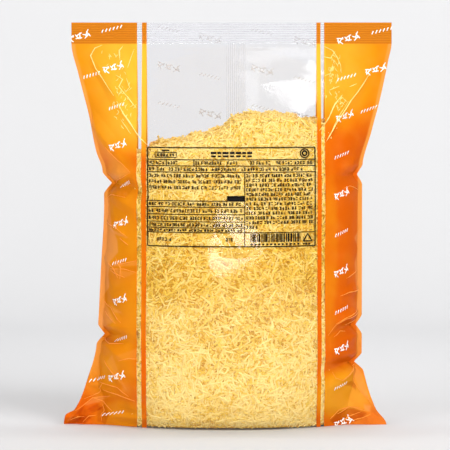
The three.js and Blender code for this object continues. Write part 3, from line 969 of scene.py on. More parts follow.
@dataclass(frozen=True)
class Cheese:
    """Young cheddar, shredded fine: matt and slightly waxy, paler where cut, with light passing through."""

    name: str
    pale: str
    middle: str
    deep: str
    glow: float = 0.25
    patch_scale: float = 34.0
    mottle: float = 1.1
    # Painted light by height: the shreds are painted deepest at this height and paler away from it, up into
    # the heap and down to the bottom.
    painted_darkest_height: float = 0.155
    painted_light_from: float = 0.02
    painted_light_to: float = 0.13
    painted_light_tones: tuple[float, float] = (-0.2, 0.22)
    own_tone: float = 1.05
    middle_at: float = 0.4

    def make(self) -> bpy.types.Material:
        """Builds the material, which takes each shred's own tone from its attribute.

        Painted light: the shreds are painted paler in the heap and low in the bag, and deeper about the
        middle of its height.
        """
        material = empty_material(self.name)
        tree = material.node_tree
        tone = add_node(tree, "ShaderNodeAttribute", {"attribute_name": "tone"}).outputs["Fac"]
        place = add_node(tree, "ShaderNodeTexCoord").outputs["Object"]
        patches = add_node(tree, "ShaderNodeTexNoise", {}, {
            "Vector": place, "Scale": self.patch_scale, "Detail": 3.0,
        }).outputs["Fac"]
        mixed = add_node(tree, "ShaderNodeMath", {"operation": "MULTIPLY_ADD"}, {
            0: patches, 1: self.mottle, 2: -self.mottle / 2,
        })
        # Painted light by height: deeper near the middle height, paler towards the heap and the bottom.
        height = add_node(tree, "ShaderNodeSeparateXYZ", {}, {0: place}).outputs["Z"]
        away = add_node(tree, "ShaderNodeMath", {"operation": "SUBTRACT"}, {
            0: height, 1: self.painted_darkest_height,
        })
        far = add_node(tree, "ShaderNodeMath", {"operation": "ABSOLUTE"}, {0: away})
        painted_light = add_node(tree, "ShaderNodeMapRange", {}, {
            0: far, 1: self.painted_light_from, 2: self.painted_light_to, 3: self.painted_light_tones[0], 4: self.painted_light_tones[1],
        })
        own = add_node(tree, "ShaderNodeMath", {"operation": "MULTIPLY_ADD"}, {
            0: tone, 1: self.own_tone, 2: painted_light,
        })
        shade = add_node(tree, "ShaderNodeMath", {"operation": "ADD", "use_clamp": True}, {
            0: own, 1: mixed,
        })
        ramp = add_node(tree, "ShaderNodeValToRGB", {}, {0: shade})
        ramp.color_ramp.elements[0].color = linear(self.deep)
        ramp.color_ramp.elements[1].color = linear(self.pale)
        ramp.color_ramp.elements.new(self.middle_at).color = linear(self.middle)
        grain = add_node(tree, "ShaderNodeTexNoise", {}, {"Vector": place, "Scale": 1600.0, "Detail": 2.0})
        bump = add_node(tree, "ShaderNodeBump", {}, {
            "Height": grain.outputs["Fac"], "Strength": 0.25, "Distance": 0.0004,
        })
        body = add_node(tree, "ShaderNodeBsdfPrincipled", {}, {
            "Base Color": ramp, "Roughness": 0.5, "IOR": 1.4, "Normal": bump,
        })
        through = add_node(tree, "ShaderNodeBsdfTranslucent", {}, {"Color": ramp})
        done = add_node(tree, "ShaderNodeMixShader", {}, {0: self.glow, 1: body, 2: through})
        add_node(tree, "ShaderNodeOutputMaterial", {}, {"Surface": done})
        return material


@dataclass(frozen=True)
class Ink:
    """Ink printed on film, or a pale line along a fold, partly whitened film and partly a painted
    highlight: a thin layer, which lets some light through.
    """

    name: str
    colour: str
    cover: float = 1.0
    least: float = 1.0
    glow: float = 0.0

    def make(self) -> bpy.types.Material:
        """Builds the material, whose cover wanders between its least share and the whole of it."""
        material = empty_material(self.name)
        tree = material.node_tree
        place = add_node(tree, "ShaderNodeTexCoord").outputs["Object"]
        patch = add_node(tree, "ShaderNodeTexNoise", {}, {"Vector": place, "Scale": 300.0, "Detail": 2.0})
        cover = add_node(tree, "ShaderNodeMapRange", {}, {
            0: patch.outputs["Fac"], 1: 0.42, 2: 0.54, 3: self.cover * self.least, 4: self.cover,
        })
        body = add_node(tree, "ShaderNodeBsdfPrincipled", {}, {
            "Base Color": linear(self.colour), "Roughness": 0.35, "IOR": 1.45, "Specular IOR Level": 0.2,
        })
        through = add_node(tree, "ShaderNodeBsdfTranslucent", {}, {"Color": linear(self.colour)})
        lit = add_node(tree, "ShaderNodeMixShader", {}, {0: self.glow, 1: body, 2: through})
        clear = add_node(tree, "ShaderNodeBsdfTransparent", {}, {"Color": linear("#ffffff")})
        done = add_node(tree, "ShaderNodeMixShader", {}, {0: cover, 1: clear, 2: lit})
        add_node(tree, "ShaderNodeOutputMaterial", {}, {"Surface": done})
        return material


# --------------------------------------------------------------------------------------------- pieces


@dataclass
class Wrapper:
    """The film tube: clear middle, orange side bands and stripes, welded top, ribbed seam on the back."""

    form: BagForm
    detail: FilmDetail
    fill: Fill
    band_step: float = 0.9
    window_step: float = 2.4
    back_band_step: float = 2.6
    back_window_step: float = 5.0
    row_step: float = 1.4
    base_rows: tuple[float, ...] = (0, 0.6, 1.4, 2.4, 3.5)
    first_body_row: float = 4.7
    seam_margin: float = 1.5
    seal_row_step: float = 0.53
    left_stripe: tuple[float, float, float] = (-88.4, -83.8, -79.4)
    right_stripe: tuple[float, float, float] = (79.6, 83.4, 86.8)
    front: FilmSurface = field(init=False)
    back: FilmSurface = field(init=False)
    offset: np.ndarray = field(init=False)

    def __post_init__(self) -> None:
        """Samples both faces, and finds how far they are from their place in the shared frame."""
        form, heights = self.form, self._heights()
        front = self._columns(self.band_step, self.window_step)
        back = self._columns(self.back_band_step, self.back_window_step)
        seam = np.linspace(form.seam_left, form.seam_right, 4 * self.detail.seam_ribs + 1)
        margin = self.seam_margin
        back = back[(back < form.seam_left - margin) | (back > form.seam_right + margin)]
        back = np.unique(np.concatenate([back, seam]))
        self.front = FilmSurface(form, self.detail, Face.FRONT, front, heights)
        self.back = FilmSurface(form, self.detail, Face.BACK, back, heights)
        points = np.concatenate([self.front.points.reshape(-1, 3), self.back.points.reshape(-1, 3)])
        middle = (points.min(0) + points.max(0)) / 2
        low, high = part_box(NODE)
        centre = (low + high) / 2 / MM
        self.offset = np.array([centre.x - middle[0], centre.y - middle[1], low.z / MM])

    def _heights(self) -> np.ndarray:
        """Heights of the rows: close together in the seal and at the turn of the base."""
        form, first = self.form, self.first_body_row
        body = np.linspace(first, form.seal_bottom, round((form.seal_bottom - first) / self.row_step))
        seal_rows = round(form.seal_height / self.seal_row_step) + 1
        seal = np.linspace(form.seal_bottom, form.height, seal_rows)[1:]
        return np.concatenate([self.base_rows, body, seal])

    def _columns(self, band_step: float, window_step: float) -> np.ndarray:
        """Places of the columns across the film, with one on every edge of the print."""
        half = self.form.flat_half_width
        edges = [-half, *self.left_stripe, *self.right_stripe, half]
        places = []
        for left, right in zip(edges, edges[1:]):
            step = window_step if max(abs(left), abs(right)) < half else band_step
            places.append(np.linspace(left, right, max(2, round((right - left) / step) + 1)))
        return np.unique(np.round(np.concatenate(places), 4))

    def _is_orange(self, film: np.ndarray) -> np.ndarray:
        """True where the film between two columns is printed orange."""
        left, right = self.left_stripe, self.right_stripe
        bands = (film < left[0]) | (film > right[2])
        return bands | ((film > left[1]) & (film < left[2])) | ((film > right[0]) & (film < right[1]))

    def build(self, materials: list[bpy.types.Material]) -> bpy.types.Object:
        """Makes the film's closed mesh, dresses it and stores what its materials read.

        Args:
            materials: printed film, clear film and the milkier film of the welded seams.

        Returns:
            The piece.
        """
        form, front, back = self.form, self.front, self.back
        ring = np.concatenate([front.points, back.points[:, ::-1]], axis=1)
        rows, columns = ring.shape[:2]
        ends = [np.arange(columns)[::-1].tolist(), ((rows - 1) * columns + np.arange(columns)).tolist()]
        faces = tube_faces(rows, columns).tolist() + ends
        piece = mesh_object("film", ring.reshape(-1, 3) + self.offset, faces, materials)

        film = np.concatenate([front.film, back.film[::-1]])
        middles = (film + np.roll(film, -1)) / 2
        on_back = np.arange(columns) >= len(front.film)
        in_seam = on_back & (middles > form.seam_left) & (middles < form.seam_right)
        slots = np.tile(np.where(in_seam, 2, np.where(self._is_orange(middles), 0, 1)), (rows - 1, 1))
        in_seal = (front.heights[1:] + front.heights[:-1]) / 2 > form.seal_bottom
        slots[in_seal[:, None] & (slots == 1)] = 2
        slots = np.concatenate([slots.ravel(), [1, 2]]).astype(np.int32)
        piece.data.polygons.foreach_set("material_index", slots)

        x, z = ring[..., 0], ring[..., 2]
        weld = smooth(z, form.seal_bottom - 1.5, form.seal_bottom + 0.5)
        flange = follow(form.flange_width, z)
        # rim paints the paler glow of the flanges, where light from behind passes flat film with no cheese
        # behind it.
        rim = smooth(form.reach(x, z) - np.abs(x), flange + 1.5, flange - 1)
        rim *= (1 - weld) * np.where(x < 0, smooth(z, 20, 90), 0.3 + 0.7 * smooth(z, 35, 85))
        up = np.clip((z - form.seal_bottom) / form.seal_height, 0, 1)
        across = np.clip((film - form.seam_left) / (form.seam_right - form.seam_left), 0, 1) * on_back
        rib = np.maximum(np.abs(np.sin(up * form.seal_ribs * math.pi)),
                         np.abs(np.sin(across * self.detail.seam_ribs * math.pi)) * (1 - weld))
        tone = np.where(on_back, self.detail.tone(x, z, Face.BACK), self.detail.tone(x, z, Face.FRONT))
        # air, flange and tone carry painted light: the backlight glow, the flanges' paler glow, and the
        # facets' sheen and shade.
        painted = {
            "air": self.fill.painted_backlight_share(form, x, z), "weld": weld, "flange": rim, "tone": tone, "rib": rib,
            "loose": self.detail.looseness(np.where(on_back, -x, x), z),
        }
        for name, values in painted.items():
            put_attribute(piece.data, name, values)
        return piece


@dataclass
class Pile:
    """The shredded cheese: a core inside the film, and beds on which loose shreds are laid over it."""

    wrapper: Wrapper
    fill: Fill
    core_gap: float = 2.5
    core_base: float = 1.4
    core_top_half_width: float = 118
    core_least_depth: float = 0.4
    core_columns: int = 120
    core_rows: int = 110
    cap_rows: int = 26
    bed_half_width: float = 96
    bed_base: float = 2.5
    bed_columns: int = 80
    bed_rows: int = 120
    full_below_top: float = -3
    heap_ends: tuple[float, float] = (-112, 118)
    heap_depth: float = 80
    heap_sink: float = 2
    heap_inset: float = 2.5
    heap_columns: int = 110
    heap_rows: int = 40
    lump_height: float = 1.5
    lump_size: float = 11
    floor_gap: float = 0.6

    def core(self, material: bpy.types.Material) -> bpy.types.Object:
        """Makes the closed core that backs the shreds, whose deeper colour shows as painted shade in the
        gaps between them.

        Args:
            material: its finish.

        Returns:
            The piece.
        """
        form, base = self.wrapper.form, self.core_base
        t = np.sin(np.linspace(-math.pi / 2, math.pi / 2, self.core_columns))
        levels = np.linspace(0, 1, self.core_rows)[:, None]
        z = base + levels * (self.fill.top(t * self.core_top_half_width)[None, :] - self.core_gap - base)
        half = form.reach(t[None, :] * np.ones_like(z), z) - follow(form.flange_width, z) - self.core_gap
        x = t[None, :] * (half - np.where(t[None, :] < 0, form.kink(-1, z), form.kink(1, z)))

        def sheet(face: Face) -> np.ndarray:
            """One face of the core."""
            depth = form.face_depth(x, z, face) + form.relief(x, z, face)
            rounded = np.clip(1 - t**8, 0, 1)[None, :] ** 0.25
            depth = np.maximum(self.core_least_depth, depth - self.core_gap) * rounded
            return np.stack([x, form.middle_plane(x, z) + face.value * depth, z], 2)

        ring = np.concatenate([sheet(Face.FRONT), sheet(Face.BACK)[:, ::-1]], axis=1)
        rows, columns = ring.shape[:2]
        points, faces = [ring.reshape(-1, 3)], tube_faces(rows, columns).tolist()
        for row, is_top in ((0, False), (rows - 1, True)):
            cap, cap_faces = self._cap(ring[row], row * columns, sum(len(p) for p in points), is_top)
            points.append(cap)
            faces += cap_faces
        piece = mesh_object("cheese_core", np.concatenate(points) + self.wrapper.offset, faces, [material])
        put_attribute(piece.data, "tone", np.full(len(piece.data.vertices), 0.3))
        return piece

    def _lumps(self, x: np.ndarray, y: np.ndarray) -> np.ndarray:
        """How far the heap's soft lumps rise over its crown."""
        return self.lump_height * soft_noise(x, y, self.lump_size, 77)

    def _cap(
        self, ring: np.ndarray, start: int, first: int, is_top: bool
    ) -> tuple[np.ndarray, list[list[int]]]:
        """Closes one end of the core with rows that run from its front edge to its back edge.

        Args:
            ring: the end's points, front then back.
            start: the ring's first corner number.
            first: the next free corner number.
            is_top: whether the end is the heaped top.

        Returns:
            The new points, and the faces that join them to the ring.
        """
        half = len(ring) // 2
        front, back = ring[:half], ring[half:][::-1]
        steps = np.linspace(0, 1, self.cap_rows + 2)[1:-1]
        inner = np.array([front * (1 - s) + back * s for s in steps])
        if is_top:
            rise = np.sin(math.pi * steps)[:, None] * self.fill.crown
            inner[..., 2] += rise + self._lumps(inner[..., 0], inner[..., 1]) * np.minimum(1, rise)
        numbers = start + np.arange(len(ring))
        rows = first + np.arange(inner[..., 0].size).reshape(inner.shape[:2])
        index = np.concatenate([numbers[:half][None], rows, numbers[half:][::-1][None]])
        quads = np.stack([index[:-1, :-1], index[:-1, 1:], index[1:, 1:], index[1:, :-1]], 2).reshape(-1, 4)
        return inner.reshape(-1, 3), (quads if is_top else quads[:, ::-1]).tolist()

    def wall_bed(self, face: Face, inset: float, fringe: float) -> bpy.types.Object:
        """A sheet just inside the film's clear middle, on which shreds are laid.

        Args:
            face: which face of the bag.
            inset: how far inside the film it is.
            fringe: how far above the fill a few shreds still cling.

        Returns:
            A helper object, with the density of shreds in its cover attribute.
        """
        surface = self.wrapper.front if face is Face.FRONT else self.wrapper.back
        film, base = np.linspace(-self.bed_half_width, self.bed_half_width, self.bed_columns), self.bed_base
        top = self.fill.top(film)
        z = base + np.linspace(0, 1, self.bed_rows)[:, None] * (top + fringe - base)[None, :]
        points = surface.place(np.tile(film, (len(z), 1)), z, -inset)
        faces = grid_faces(*z.shape)
        bed = mesh_object("bed", points.reshape(-1, 3), faces if face is Face.FRONT else faces[:, ::-1], [])
        put_attribute(bed.data, "cover", smooth(z - top, fringe, self.full_below_top) ** 2)
        return bed

    def heap_bed(self) -> bpy.types.Object:
        """A sheet over the heap's top, on which shreds are laid.

        Returns:
            A helper object, with the density of shreds in its cover attribute.
        """
        form, inset = self.wrapper.form, self.heap_inset
        columns = np.linspace(*self.heap_ends, self.heap_columns)
        x, s = np.meshgrid(columns, np.linspace(0, 1, self.heap_rows))
        z = self.fill.top(x) - self.heap_sink
        front = form.middle_plane(x, z) - form.face_depth(x, z, Face.FRONT) + inset
        back = form.middle_plane(x, z) + form.face_depth(x, z, Face.BACK) - inset
        crown = np.sin(math.pi * s) * self.fill.crown + self._lumps(x, s * self.heap_depth)
        points = np.stack([x, front * (1 - s) + back * s, z + crown], 2)
        bed = mesh_object("bed", points.reshape(-1, 3), grid_faces(*x.shape), [])
        put_attribute(bed.data, "cover", np.ones(x.size))
        return bed

    def settle(self, piece: bpy.types.Object, gap: float) -> None:
        """Moves strewn shreds into the shared frame, pressed flat where they would pierce the film."""
        mesh, form = piece.data, self.wrapper.form
        places = np.empty(len(mesh.vertices) * 3, np.float32)
        mesh.vertices.foreach_get("co", places)
        points = places.reshape(-1, 3).astype(float) / MM
        xs = np.arange(-form.flat_half_width, form.flat_half_width + 1, 1.0)
        zs = np.arange(0, form.height + 1, 1.0)
        across = np.clip(points[:, 0] - xs[0], 0, len(xs) - 1.01)
        up = np.clip(points[:, 2], 0, len(zs) - 1.01)
        c, r = across.astype(int), up.astype(int)
        s, t = across - c, up - r
        for surface in (self.wrapper.front, self.wrapper.back):
            depth = surface.depth_map(xs, zs)
            low = depth[r, c] * (1 - s) + depth[r, c + 1] * s
            high = depth[r + 1, c] * (1 - s) + depth[r + 1, c + 1] * s
            film = low * (1 - t) + high * t
            hold = np.maximum if surface.face is Face.FRONT else np.minimum
            points[:, 1] = hold(points[:, 1], film - surface.face.value * gap)
        points[:, 2] = np.maximum(points[:, 2], self.floor_gap)
        mesh.vertices.foreach_set("co", ((points + self.wrapper.offset) * MM).astype(np.float32).ravel())
        mesh.update()


@dataclass(frozen=True)
class Shredding:
    """How shreds are strewn over a bed: their number, length, section, curl and tilt.

    The section is first across the bed where that is level, and out of it where it stands upright.
    """

    name: str
    count: int
    length: tuple[float, float]
    section: tuple[float, float]
    curl: tuple[float, float, float]
    tilt: float
    seed: int
    points: int = 6
    thinnest: float = 0.7
    girth_range: float = 0.6
    bend_scale: float = 130.0
    tone_spread: float = 50.0

    def tree(self, material: bpy.types.Material) -> bpy.types.NodeTree:
        """Builds the tree that strews shreds over a mesh, with its sizes as named inputs in metres."""
        tree = bpy.data.node_groups.new(f"strew_{self.name}", "GeometryNodeTree")
        interface = tree.interface
        interface.new_socket("Geometry", in_out="INPUT", socket_type="NodeSocketGeometry")
        for label, kind in (
            ("Density", "Float"), ("Shortest", "Float"), ("Longest", "Float"), ("Section Width", "Float"),
            ("Section Height", "Float"), ("Curl", "Vector"), ("Tilt", "Float"), ("Seed", "Int"),
        ):
            interface.new_socket(label, in_out="INPUT", socket_type=f"NodeSocket{kind}")
        interface.new_socket("Geometry", in_out="OUTPUT", socket_type="NodeSocketGeometry")
        given = add_node(tree, "NodeGroupInput").outputs
        seed = given["Seed"]

        cover = add_node(tree, "GeometryNodeInputNamedAttribute", {"data_type": "FLOAT"}, {"Name": "cover"})
        density = add_node(tree, "ShaderNodeMath", {"operation": "MULTIPLY"}, {
            0: cover, 1: given["Density"],
        })
        points = add_node(tree, "GeometryNodeDistributePointsOnFaces", {}, {
            "Mesh": given["Geometry"], "Density": density, "Seed": seed,
        })
        low = add_node(tree, "ShaderNodeMath", {"operation": "MULTIPLY"}, {0: given["Tilt"], 1: -1.0})
        least = add_node(tree, "ShaderNodeCombineXYZ", {}, {0: low, 1: low, 2: 0.0})
        most = add_node(tree, "ShaderNodeCombineXYZ", {}, {0: given["Tilt"], 1: given["Tilt"], 2: math.tau})
        turn = add_node(tree, "FunctionNodeRandomValue", {"data_type": "FLOAT_VECTOR"}, {
            0: least, 1: most, "Seed": seed,
        })
        turned = add_node(tree, "FunctionNodeRotateRotation", {"rotation_space": "LOCAL"}, {
            0: points.outputs["Rotation"], 1: turn,
        })
        size = add_node(tree, "FunctionNodeRandomValue", {"data_type": "FLOAT"}, {
            2: given["Shortest"], 3: given["Longest"], "Seed": seed,
        })
        line = add_node(tree, "GeometryNodeCurvePrimitiveLine", {}, {
            "Start": (-0.5, 0, 0), "End": (0.5, 0, 0),
        })
        cut = add_node(tree, "GeometryNodeResampleCurve", {"mode": "COUNT"}, {
            "Curve": line, "Count": self.points,
        })
        laid = add_node(tree, "GeometryNodeInstanceOnPoints", {}, {
            "Points": points, "Instance": cut, "Rotation": turned,
            "Scale": size.outputs[1],
        })
        chance = add_node(tree, "FunctionNodeRandomValue", {"data_type": "FLOAT"}, {
            2: 0.0, 3: 1.0, "Seed": seed,
        })
        on_each = {"data_type": "FLOAT", "domain": "INSTANCE"}
        toned = add_node(tree, "GeometryNodeStoreNamedAttribute", on_each, {
            "Geometry": laid, "Name": "tone", "Value": chance.outputs[1],
        })
        loose = add_node(tree, "GeometryNodeRealizeInstances", {}, {0: toned})
        tone = add_node(tree, "GeometryNodeInputNamedAttribute", {"data_type": "FLOAT"}, {"Name": "tone"})
        own = add_node(tree, "ShaderNodeMath", {"operation": "MULTIPLY"}, {0: tone, 1: self.tone_spread})
        where = add_node(tree, "GeometryNodeInputPosition")
        bend = add_node(tree, "ShaderNodeTexNoise", {"noise_dimensions": "4D"}, {
            "Vector": where, "W": own, "Scale": self.bend_scale, "Detail": 0.0,
        })
        bent = add_node(tree, "ShaderNodeVectorMath", {"operation": "SUBTRACT"}, {
            0: bend.outputs["Color"], 1: (0.5, 0.5, 0.5),
        })
        offset = add_node(tree, "ShaderNodeVectorMath", {"operation": "MULTIPLY"}, {
            0: bent, 1: given["Curl"],
        })
        curled = add_node(tree, "GeometryNodeSetPosition", {}, {"Geometry": loose, "Offset": offset})
        profile = add_node(tree, "GeometryNodeCurvePrimitiveQuadrilateral", {}, {
            "Width": given["Section Width"], "Height": given["Section Height"],
        })
        part = add_node(tree, "ShaderNodeMath", {"operation": "FRACT"}, {0: own})
        girth = add_node(tree, "ShaderNodeMath", {"operation": "MULTIPLY_ADD"}, {
            0: part, 1: self.girth_range, 2: self.thinnest,
        })
        solid = add_node(tree, "GeometryNodeCurveToMesh", {}, {
            "Curve": curled, "Profile Curve": profile, "Scale": girth,
            "Fill Caps": True,
        })
        even = add_node(tree, "GeometryNodeSetShadeSmooth", {}, {"Geometry": solid, "Shade Smooth": True})
        real = add_node(tree, "GeometryNodeRealizeInstances", {}, {0: even})
        dressed = add_node(tree, "GeometryNodeSetMaterial", {}, {"Geometry": real, "Material": material})
        add_node(tree, "NodeGroupOutput", {}, {0: dressed})
        return tree

    def strew(self, bed: bpy.types.Object, material: bpy.types.Material) -> bpy.types.Object:
        """Strews the shreds over a bed and turns the result into a plain mesh piece.

        Args:
            bed: the helper sheet, which is deleted.
            material: the shreds' finish.

        Returns:
            The piece, still measured from the middle of the top seal.
        """
        area = sum(face.area for face in bed.data.polygons)
        cover = np.empty(len(bed.data.vertices), np.float32)
        bed.data.attributes["cover"].data.foreach_get("value", cover)
        modifier = bed.modifiers.new("strew", "NODES")
        modifier.node_group = self.tree(material)
        values = {
            "Density": self.count / (area * float(cover.mean())), "Tilt": self.tilt, "Seed": self.seed,
            "Shortest": self.length[0] * MM, "Longest": self.length[1] * MM,
            "Section Width": self.section[0] * MM, "Section Height": self.section[1] * MM,
            "Curl": [way * MM for way in self.curl],
        }
        for item in modifier.node_group.interface.items_tree:
            if item.in_out == "INPUT" and item.name in values:
                modifier[item.identifier] = values[item.name]
        graph = bpy.context.evaluated_depsgraph_get()
        mesh = bpy.data.meshes.new_from_object(bed.evaluated_get(graph))
        bed.modifiers.remove(modifier)
        helper = bed.data
        bpy.data.objects.remove(bed)
        bpy.data.meshes.remove(helper)
        mesh.name = self.name
        piece = bpy.data.objects.new(self.name, mesh)
        bpy.context.scene.collection.objects.link(piece)
        return piece


@dataclass
class PrintLayer:
    """Ink on the film, as thin closed ribbons that follow its surface."""

    surface: FilmSurface
    offset: np.ndarray
    base: float = 0.16
    top: float = 0.26
    longest_step: float = 3.0
    uneven: float = 0.45
    uneven_size: float = 5
    tip_width: float = 0.12
    belly_width: float = 0.88
    belly_power: float = 0.6
    points: list[np.ndarray] = field(default_factory=list)
    faces: list[list[int]] = field(default_factory=list)
    count: int = 0

    def ribbon(self, path: np.ndarray, half_width: float, tapers: bool = False) -> None:
        """Adds a ribbon along a path on the flat film.

        Args:
            path: N places across the film and up it.
            half_width: half of the ribbon's width.
            tapers: whether it runs out into points and is uneven, as a fold is.
        """
        path = self._refined(np.asarray(path, float))
        direction = np.gradient(path, axis=0)
        direction /= np.maximum(np.linalg.norm(direction, axis=1, keepdims=True), TINY)
        width = np.full(len(path), half_width)
        if tapers:
            step = np.arange(len(path))
            seed = round(10 * path[0].sum())
            uneven = 1 + self.uneven * soft_noise(step * 1.0, step * 0.0, self.uneven_size, seed)
            belly = np.sin(math.pi * step / max(1, len(path) - 1)) ** self.belly_power
            width = width * uneven * (self.tip_width + self.belly_width * belly)
        across = np.stack([-direction[:, 1], direction[:, 0]], 1) * width[:, None]
        left, right = path + across, path - across
        corners = ((left, self.base), (right, self.base), (right, self.top), (left, self.top))
        rails = [self.surface.place(side[:, 0], side[:, 1], lift) for side, lift in corners]
        made = np.stack(rails, 1).reshape(-1, 3)
        last = self.count + len(made) - 4
        outwards = self.surface.face is Face.FRONT
        for a in range(self.count, last, 4):
            for i in range(4):
                j = (i + 1) % 4
                quad = [a + i, a + j, a + 4 + j, a + 4 + i]
                self.faces.append(quad[::-1] if outwards else quad)
        for end in ([self.count + i for i in (0, 1, 2, 3)], [last + i for i in (3, 2, 1, 0)]):
            self.faces.append(end if outwards else end[::-1])
        self.points.append(made)
        self.count += len(made)

    def _refined(self, path: np.ndarray) -> np.ndarray:
        """The path with points close enough together to follow the film."""
        parts = []
        for a, b in zip(path, path[1:]):
            n = max(1, math.ceil(float(np.linalg.norm(b - a)) / self.longest_step))
            parts.append(a + (b - a) * np.arange(n)[:, None] / n)
        return np.concatenate([*parts, path[-1:]])

    def bar(self, left: float, right: float, z: float, height: float) -> None:
        """Adds a level bar."""
        self.ribbon(np.array([[left, z], [right, z]]), height / 2)

    def post(self, x: float, low: float, high: float, width: float) -> None:
        """Adds an upright bar."""
        self.ribbon(np.array([[x, low], [x, high]]), width / 2)

    def build(self, name: str, material: bpy.types.Material) -> bpy.types.Object:
        """Turns what was added into a piece."""
        return mesh_object(name, np.concatenate(self.points) + self.offset, self.faces, [material])


@dataclass
class ShredMotif:
    """The plain white motif of the bands: small heaps of crossing shreds, or a row of dashes, by turns."""

    pitch: float = 36
    tilt: float = 14
    heap_pitch: float = 8.0
    dash_pitch: float = 3.6
    stroke: float = 0.45
    bow: float = 0.05
    heap_turn: float = 37
    dashes: int = 6
    dash_length: float = 3.4
    dash_lean: float = 52
    heap: tuple[tuple[float, float, float, float], ...] = (
        (0.3, 1.6, 6.4, 20), (-0.4, -1.7, 6.2, -6), (1.3, 0.3, 5.8, 80), (-1.5, 0.1, 5.4, 122),
    )

    def place(self, layer: PrintLayer, film: float, z: float, is_large: bool, way: int = 1) -> None:
        """Draws one motif.

        Args:
            layer: the ink that it is added to.
            film: its middle across the film.
            z: its middle's height.
            is_large: whether it is the row of heaps.
            way: 1 where it rises to the right, -1 where it is seen from behind.
        """
        turn = math.radians(self.tilt) * way
        rotation = np.array([[math.cos(turn), -math.sin(turn)], [math.sin(turn), math.cos(turn)]])
        for stroke in self._heaps() if is_large else self._row():
            layer.ribbon(stroke @ rotation.T + (film, z), self.stroke)

    def _shred(self, x: float, z: float, length: float, angle: float) -> np.ndarray:
        """One slightly bowed shred."""
        t = np.linspace(-0.5, 0.5, 4)
        bow = self.bow * length * np.cos(math.pi * t)
        lean = math.radians(angle)
        return np.stack([x + length * t * math.cos(lean) - bow * math.sin(lean),
                         z + length * t * math.sin(lean) + bow * math.cos(lean)], 1)

    def _heaps(self) -> list[np.ndarray]:
        """Three little heaps of crossing shreds, each turned on from the last, before they are tilted."""
        return [
            self._shred(k * self.heap_pitch + x, z, length, angle + self.heap_turn * k)
            for k in (-1, 0, 1)
            for x, z, length, angle in self.heap
        ]

    def _row(self) -> list[np.ndarray]:
        """Six short slanting dashes, before they are tilted."""
        middle = (self.dashes - 1) / 2
        return [
            self._shred((k - middle) * self.dash_pitch, 0, self.dash_length, self.dash_lean)
            for k in range(self.dashes)
        ]


